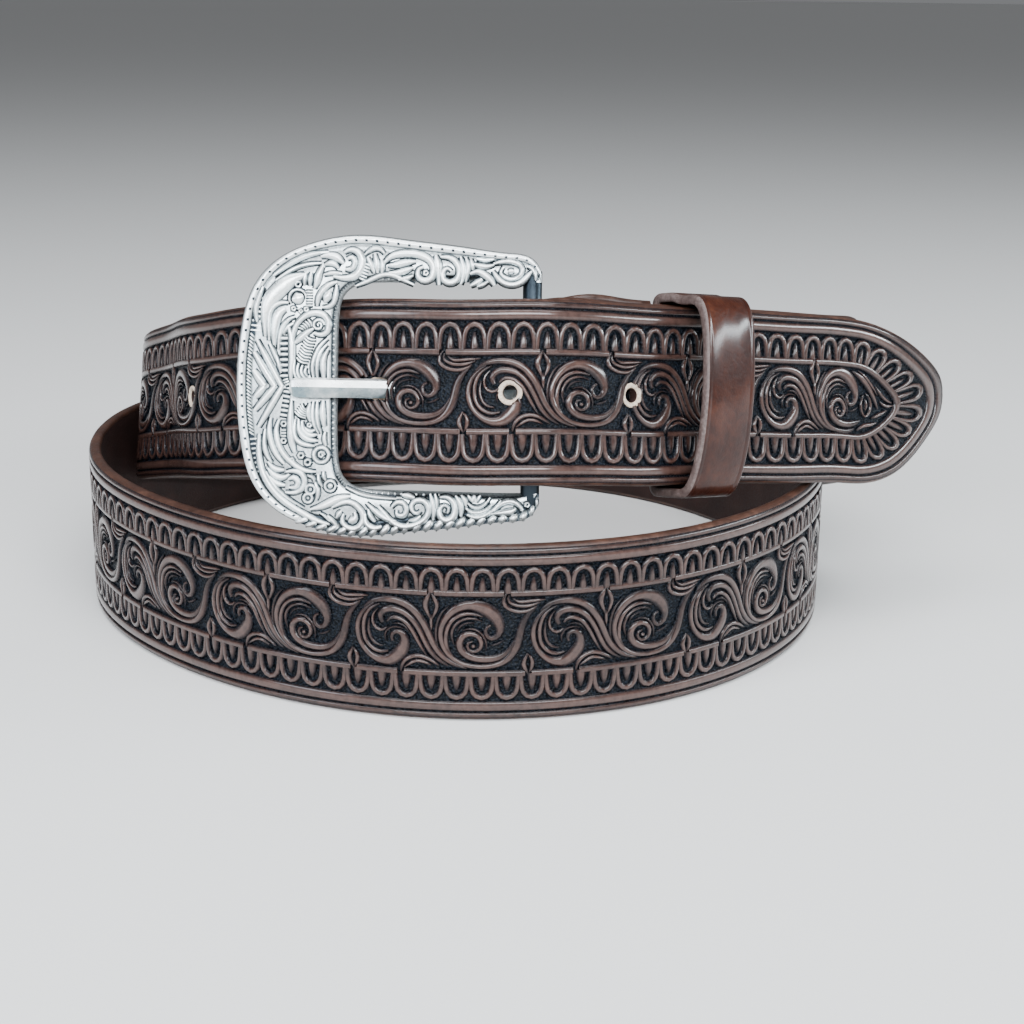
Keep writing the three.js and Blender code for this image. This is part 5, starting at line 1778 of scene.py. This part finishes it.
# %% [markdown]
# ## The keeper
# The keeper is a band of plain polished leather, 14 mm wide, that bulges in front and lies flat behind.
# It is a grid: one row for each place round the loop, and across it the band's own section with its
# rounded, burnished edges.

# %% The finish of the keeper: smooth, glossy and lightly wrinkled
def polished_leather():
    finish = Finish("polished_leather", Specular_IOR_Level=0.1, Coat_Roughness=0.17)
    patches = finish.noise(11, 3)
    wrinkles = finish.noise(1.6, 5, 0.62)
    grain = finish.noise(0.45, 3, 0.6)
    colour = finish.ramp(
        patches * 0.65 + wrinkles * 0.35,
        (0.30, (0.010, 0.0026, 0.0016)),
        (0.46, (0.022, 0.0052, 0.0028)),
        (0.60, (0.040, 0.0100, 0.0044)),
        (0.76, (0.070, 0.0200, 0.0080)),
    )
    pores = finish.between(grain, 0.5, 0.75) * 0.3
    finish.set("Base Color", finish.mix(pores, colour, (0.010, 0.003, 0.002)))
    finish.set("Roughness", finish.between(wrinkles, 0.3, 0.7, 0.34, 0.5))
    finish.set("Coat Weight", finish.between(patches, 0.3, 0.7, 0.4, 0.55))
    fine = finish.bump(grain, 0.25, 0.08)
    finish.set("Normal", finish.bump(wrinkles, 0.6, 0.35, fine))
    return finish.material


POLISHED = polished_leather()
KEEPER_EDGE = fibrous_leather(
    "keeper_edge",
    specular=0.5,
    fibre=(0.7, 4, 0.7),
    patches=(6, 0.4),
    rough=(0.35, 0.6),
    bump=(0.5, 0.2),
    stops=[(0.32, (0.030, 0.016, 0.014)), (0.52, (0.085, 0.058, 0.052)), (0.72, (0.200, 0.155, 0.145))],
)
print("the keeper has the finishes", POLISHED.name, "and", KEEPER_EDGE.name)

# %% The keeper's loop, with the same sizes as its solid
KEEPER_LENGTH = 14
KEEPER_THICKNESS = 2.0
KEEPER_ABOVE, KEEPER_BELOW = 0.4, 0.8
KEEPER_SLACK = 1.1
KEEPER_BULGE = 6.8
KEEPER_TURN = -48.8


def arc_of(start, pull_1, pull_2, end, count):
    """Points of a cubic curve, without its last one."""
    start, pull_1, pull_2, end = (np.array(point, float) for point in (start, pull_1, pull_2, end))
    for i in range(count):
        t = i / count
        s = 1 - t
        yield s**3 * start + 3 * s * s * t * pull_1 + 3 * s * t * t * pull_2 + t**3 * end


def keeper_loop(grow):
    """Round the loop as height above the face and width, either its inside or its outside."""
    near = KEEPER_SLACK + 0.3 * grow
    far = -(BODY_BEHIND + STRAP_THICKNESS + KEEPER_SLACK + grow)
    low, high = -KEEPER_BELOW - grow, STRAP_WIDTH + KEEPER_ABOVE + grow
    front, corner, crown = KEEPER_BULGE + grow, 0.8 + grow, (low + high) / 2 + 3.4
    behind_top = high + BODY_BEHIND * math.tan(math.radians(BUCKLE_LEAN))
    third = corner / 3
    # Each bend from the last one's end: its two pulls, its own end and its number of points
    bends = [
        ((far, low + third), (far + third, low), (far + corner, low), 6),
        ((far + corner + 1, low), (near - 2, low), (near - 1, low), 5),
        ((front * 0.64, low), (front * 0.97, low + 12.8), (front, crown), 26),
        ((front, high - 6), (front * 0.92, high), (near + 1.3, high), 20),
        ((near + 0.9, high), (0.4, high), (0, high), 3),
        ((-1, high), (-2.2, behind_top - 0.2), (-BODY_BEHIND, behind_top), 5),
        ((-BODY_BEHIND - 0.5, behind_top), (far + corner + 0.5, behind_top), (far + corner, behind_top), 3),
        ((far + third, behind_top), (far, behind_top - third), (far, behind_top - corner), 6),
        ((far, crown + 6), (far, crown - 6), (far, low + corner), 14),
    ]
    points, start = [], (far, low + corner)
    for pull_1, pull_2, end, count in bends:
        points += arc_of(start, pull_1, pull_2, end, count)
        start = end
    return np.array(points)


# Across half of the band: place from its edge, then how far from the inside to the outside
HALF_BAND = [
    (0.5, 0.0), (0.15, 0.08), (0.0, 0.3), (0.0, 0.7), (0.12, 0.9), (0.45, 1.0), (1.25, 1.0), (1.45, 0.965),
    (1.65, 1.0), (5, 1.0),
]
BAND = HALF_BAND + [(KEEPER_LENGTH - across, share) for across, share in HALF_BAND[::-1]]
BAND_EDGES = (*range(0, 5), *range(14, 19))


def keeper_band():
    inside, outside = keeper_loop(0), keeper_loop(KEEPER_THICKNESS)
    count, columns = len(inside), len(BAND)
    bm = grid(count + 1, columns + 1)
    for face in bm.faces:
        lowest = min(round(v.co.y) for v in face.verts)
        face.material_index = 1 if lowest in BAND_EDGES else 0
    for v in bm.verts:
        i, column = round(v.co.x) % count, round(v.co.y) % columns
        across, share = BAND[column]
        out, up = inside[i] + (outside[i] - inside[i]) * share
        v.co = (KEEPER_LENGTH / 2 - across, up, out)
    return closed(bm)


search = np.arange(outer_start, route.length, SEARCH_STEP)
turns = np.degrees(np.arctan2(*route.sample(search)[0][:, 1::-1].T))
keeper_at = outer_start + SEARCH_STEP * int(np.abs(turns - KEEPER_TURN).argmin())
print("the keeper sits", round(float(keeper_at)), "mm along the strap")


def on_keeper(flat):
    place, along, up, out = route_frame(np.array([keeper_at]))
    return (place + out * flat[:, 2:3] + up * flat[:, 1:2] - along * flat[:, :1]) * MM


finished("keeper_band", keeper_band(), [POLISHED, KEEPER_EDGE], on_keeper, ("keeper",))

# %% The hidden fasteners keep their solids and get the metal finish
for name in ("fastener_near_bar", "fastener_near_keeper"):
    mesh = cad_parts[name].data
    mesh.materials.clear()
    mesh.materials.append(FASTENER)
    print(name, "has the finish", mesh.materials[0].name)

# %% [markdown]
# ## Camera, floor and light
# The camera stands where the photograph was taken, a little above the belt. The floor is plain and
# pale, and the lights are large and soft.

# %% The camera
CAMERA_PLACE = (1.283, -449.318, 145.68)
CAMERA_PITCH = 16
CAMERA_ROLL = 0.787
SENSOR_WIDTH = 36
FOCAL_LENGTH = 63.55
SIGHT = 200
camera_data = bpy.data.cameras.new("camera")
camera_data.sensor_width = SENSOR_WIDTH
camera_data.lens = FOCAL_LENGTH
camera_data.clip_end = SIGHT
camera = placed("camera", camera_data)
pitch = Matrix.Rotation(math.radians(90 - CAMERA_PITCH), 4, "X")
roll = Matrix.Rotation(math.radians(CAMERA_ROLL), 4, "Z")
camera.matrix_world = Matrix.Translation(Vector(CAMERA_PLACE) * MM) @ pitch @ roll
bpy.context.scene.camera = camera
print("the camera looks down by", CAMERA_PITCH, "degrees")

# %% The floor
FLOOR_RADIUS = 80
floor_finish = Finish("pale_floor", Roughness=0.7)
floor_finish.set("Base Color", (0.78, 0.78, 0.77))
floor_bm = bmesh.new()
bmesh.ops.create_circle(floor_bm, cap_ends=True, segments=64, radius=FLOOR_RADIUS)
floor = placed("floor", mesh_of("floor", floor_bm, [floor_finish.material]))
print("the floor reaches", FLOOR_RADIUS, "m away")

# %% The lights and the room
LIGHTS = [
    # name, place, width and height, watts, colour
    ("window_light", (0.1, -1.2, 0.62), (1.4, 0.28), 31, (0.92, 0.96, 1.0)),
    ("top_light", (0.0, -0.35, 0.9), (1.1, 0.4), 13, (0.95, 0.97, 1.0)),
    ("left_light", (-0.8, -0.7, 0.40), (0.4, 0.4), 6, (0.82, 0.90, 1.0)),
    ("right_light", (1.05, -0.13, 0.33), (0.8, 0.08), 9, (0.86, 0.95, 1.0)),
]
LIT_PLACE = Vector((0, -0.05, 0.05))
ROOM_COLOUR = (0.82, 0.84, 0.87, 1)
ROOM_STRENGTH = 0.24
for name, place, size, watts, colour in LIGHTS:
    data = bpy.data.lights.new(name, "AREA")
    data.shape = "RECTANGLE"
    data.size, data.size_y = size
    data.energy = watts
    data.color = colour
    light = placed(name, data)
    light.location = place
    light.rotation_euler = (LIT_PLACE - Vector(place)).to_track_quat("-Z", "Y").to_euler()
print("there are", len(LIGHTS), "soft lights")
world = bpy.data.worlds.new("soft_room")
bpy.context.scene.world = world
world.use_nodes = True
background = world.node_tree.nodes["Background"]
background.inputs["Color"].default_value = ROOM_COLOUR
background.inputs["Strength"].default_value = ROOM_STRENGTH
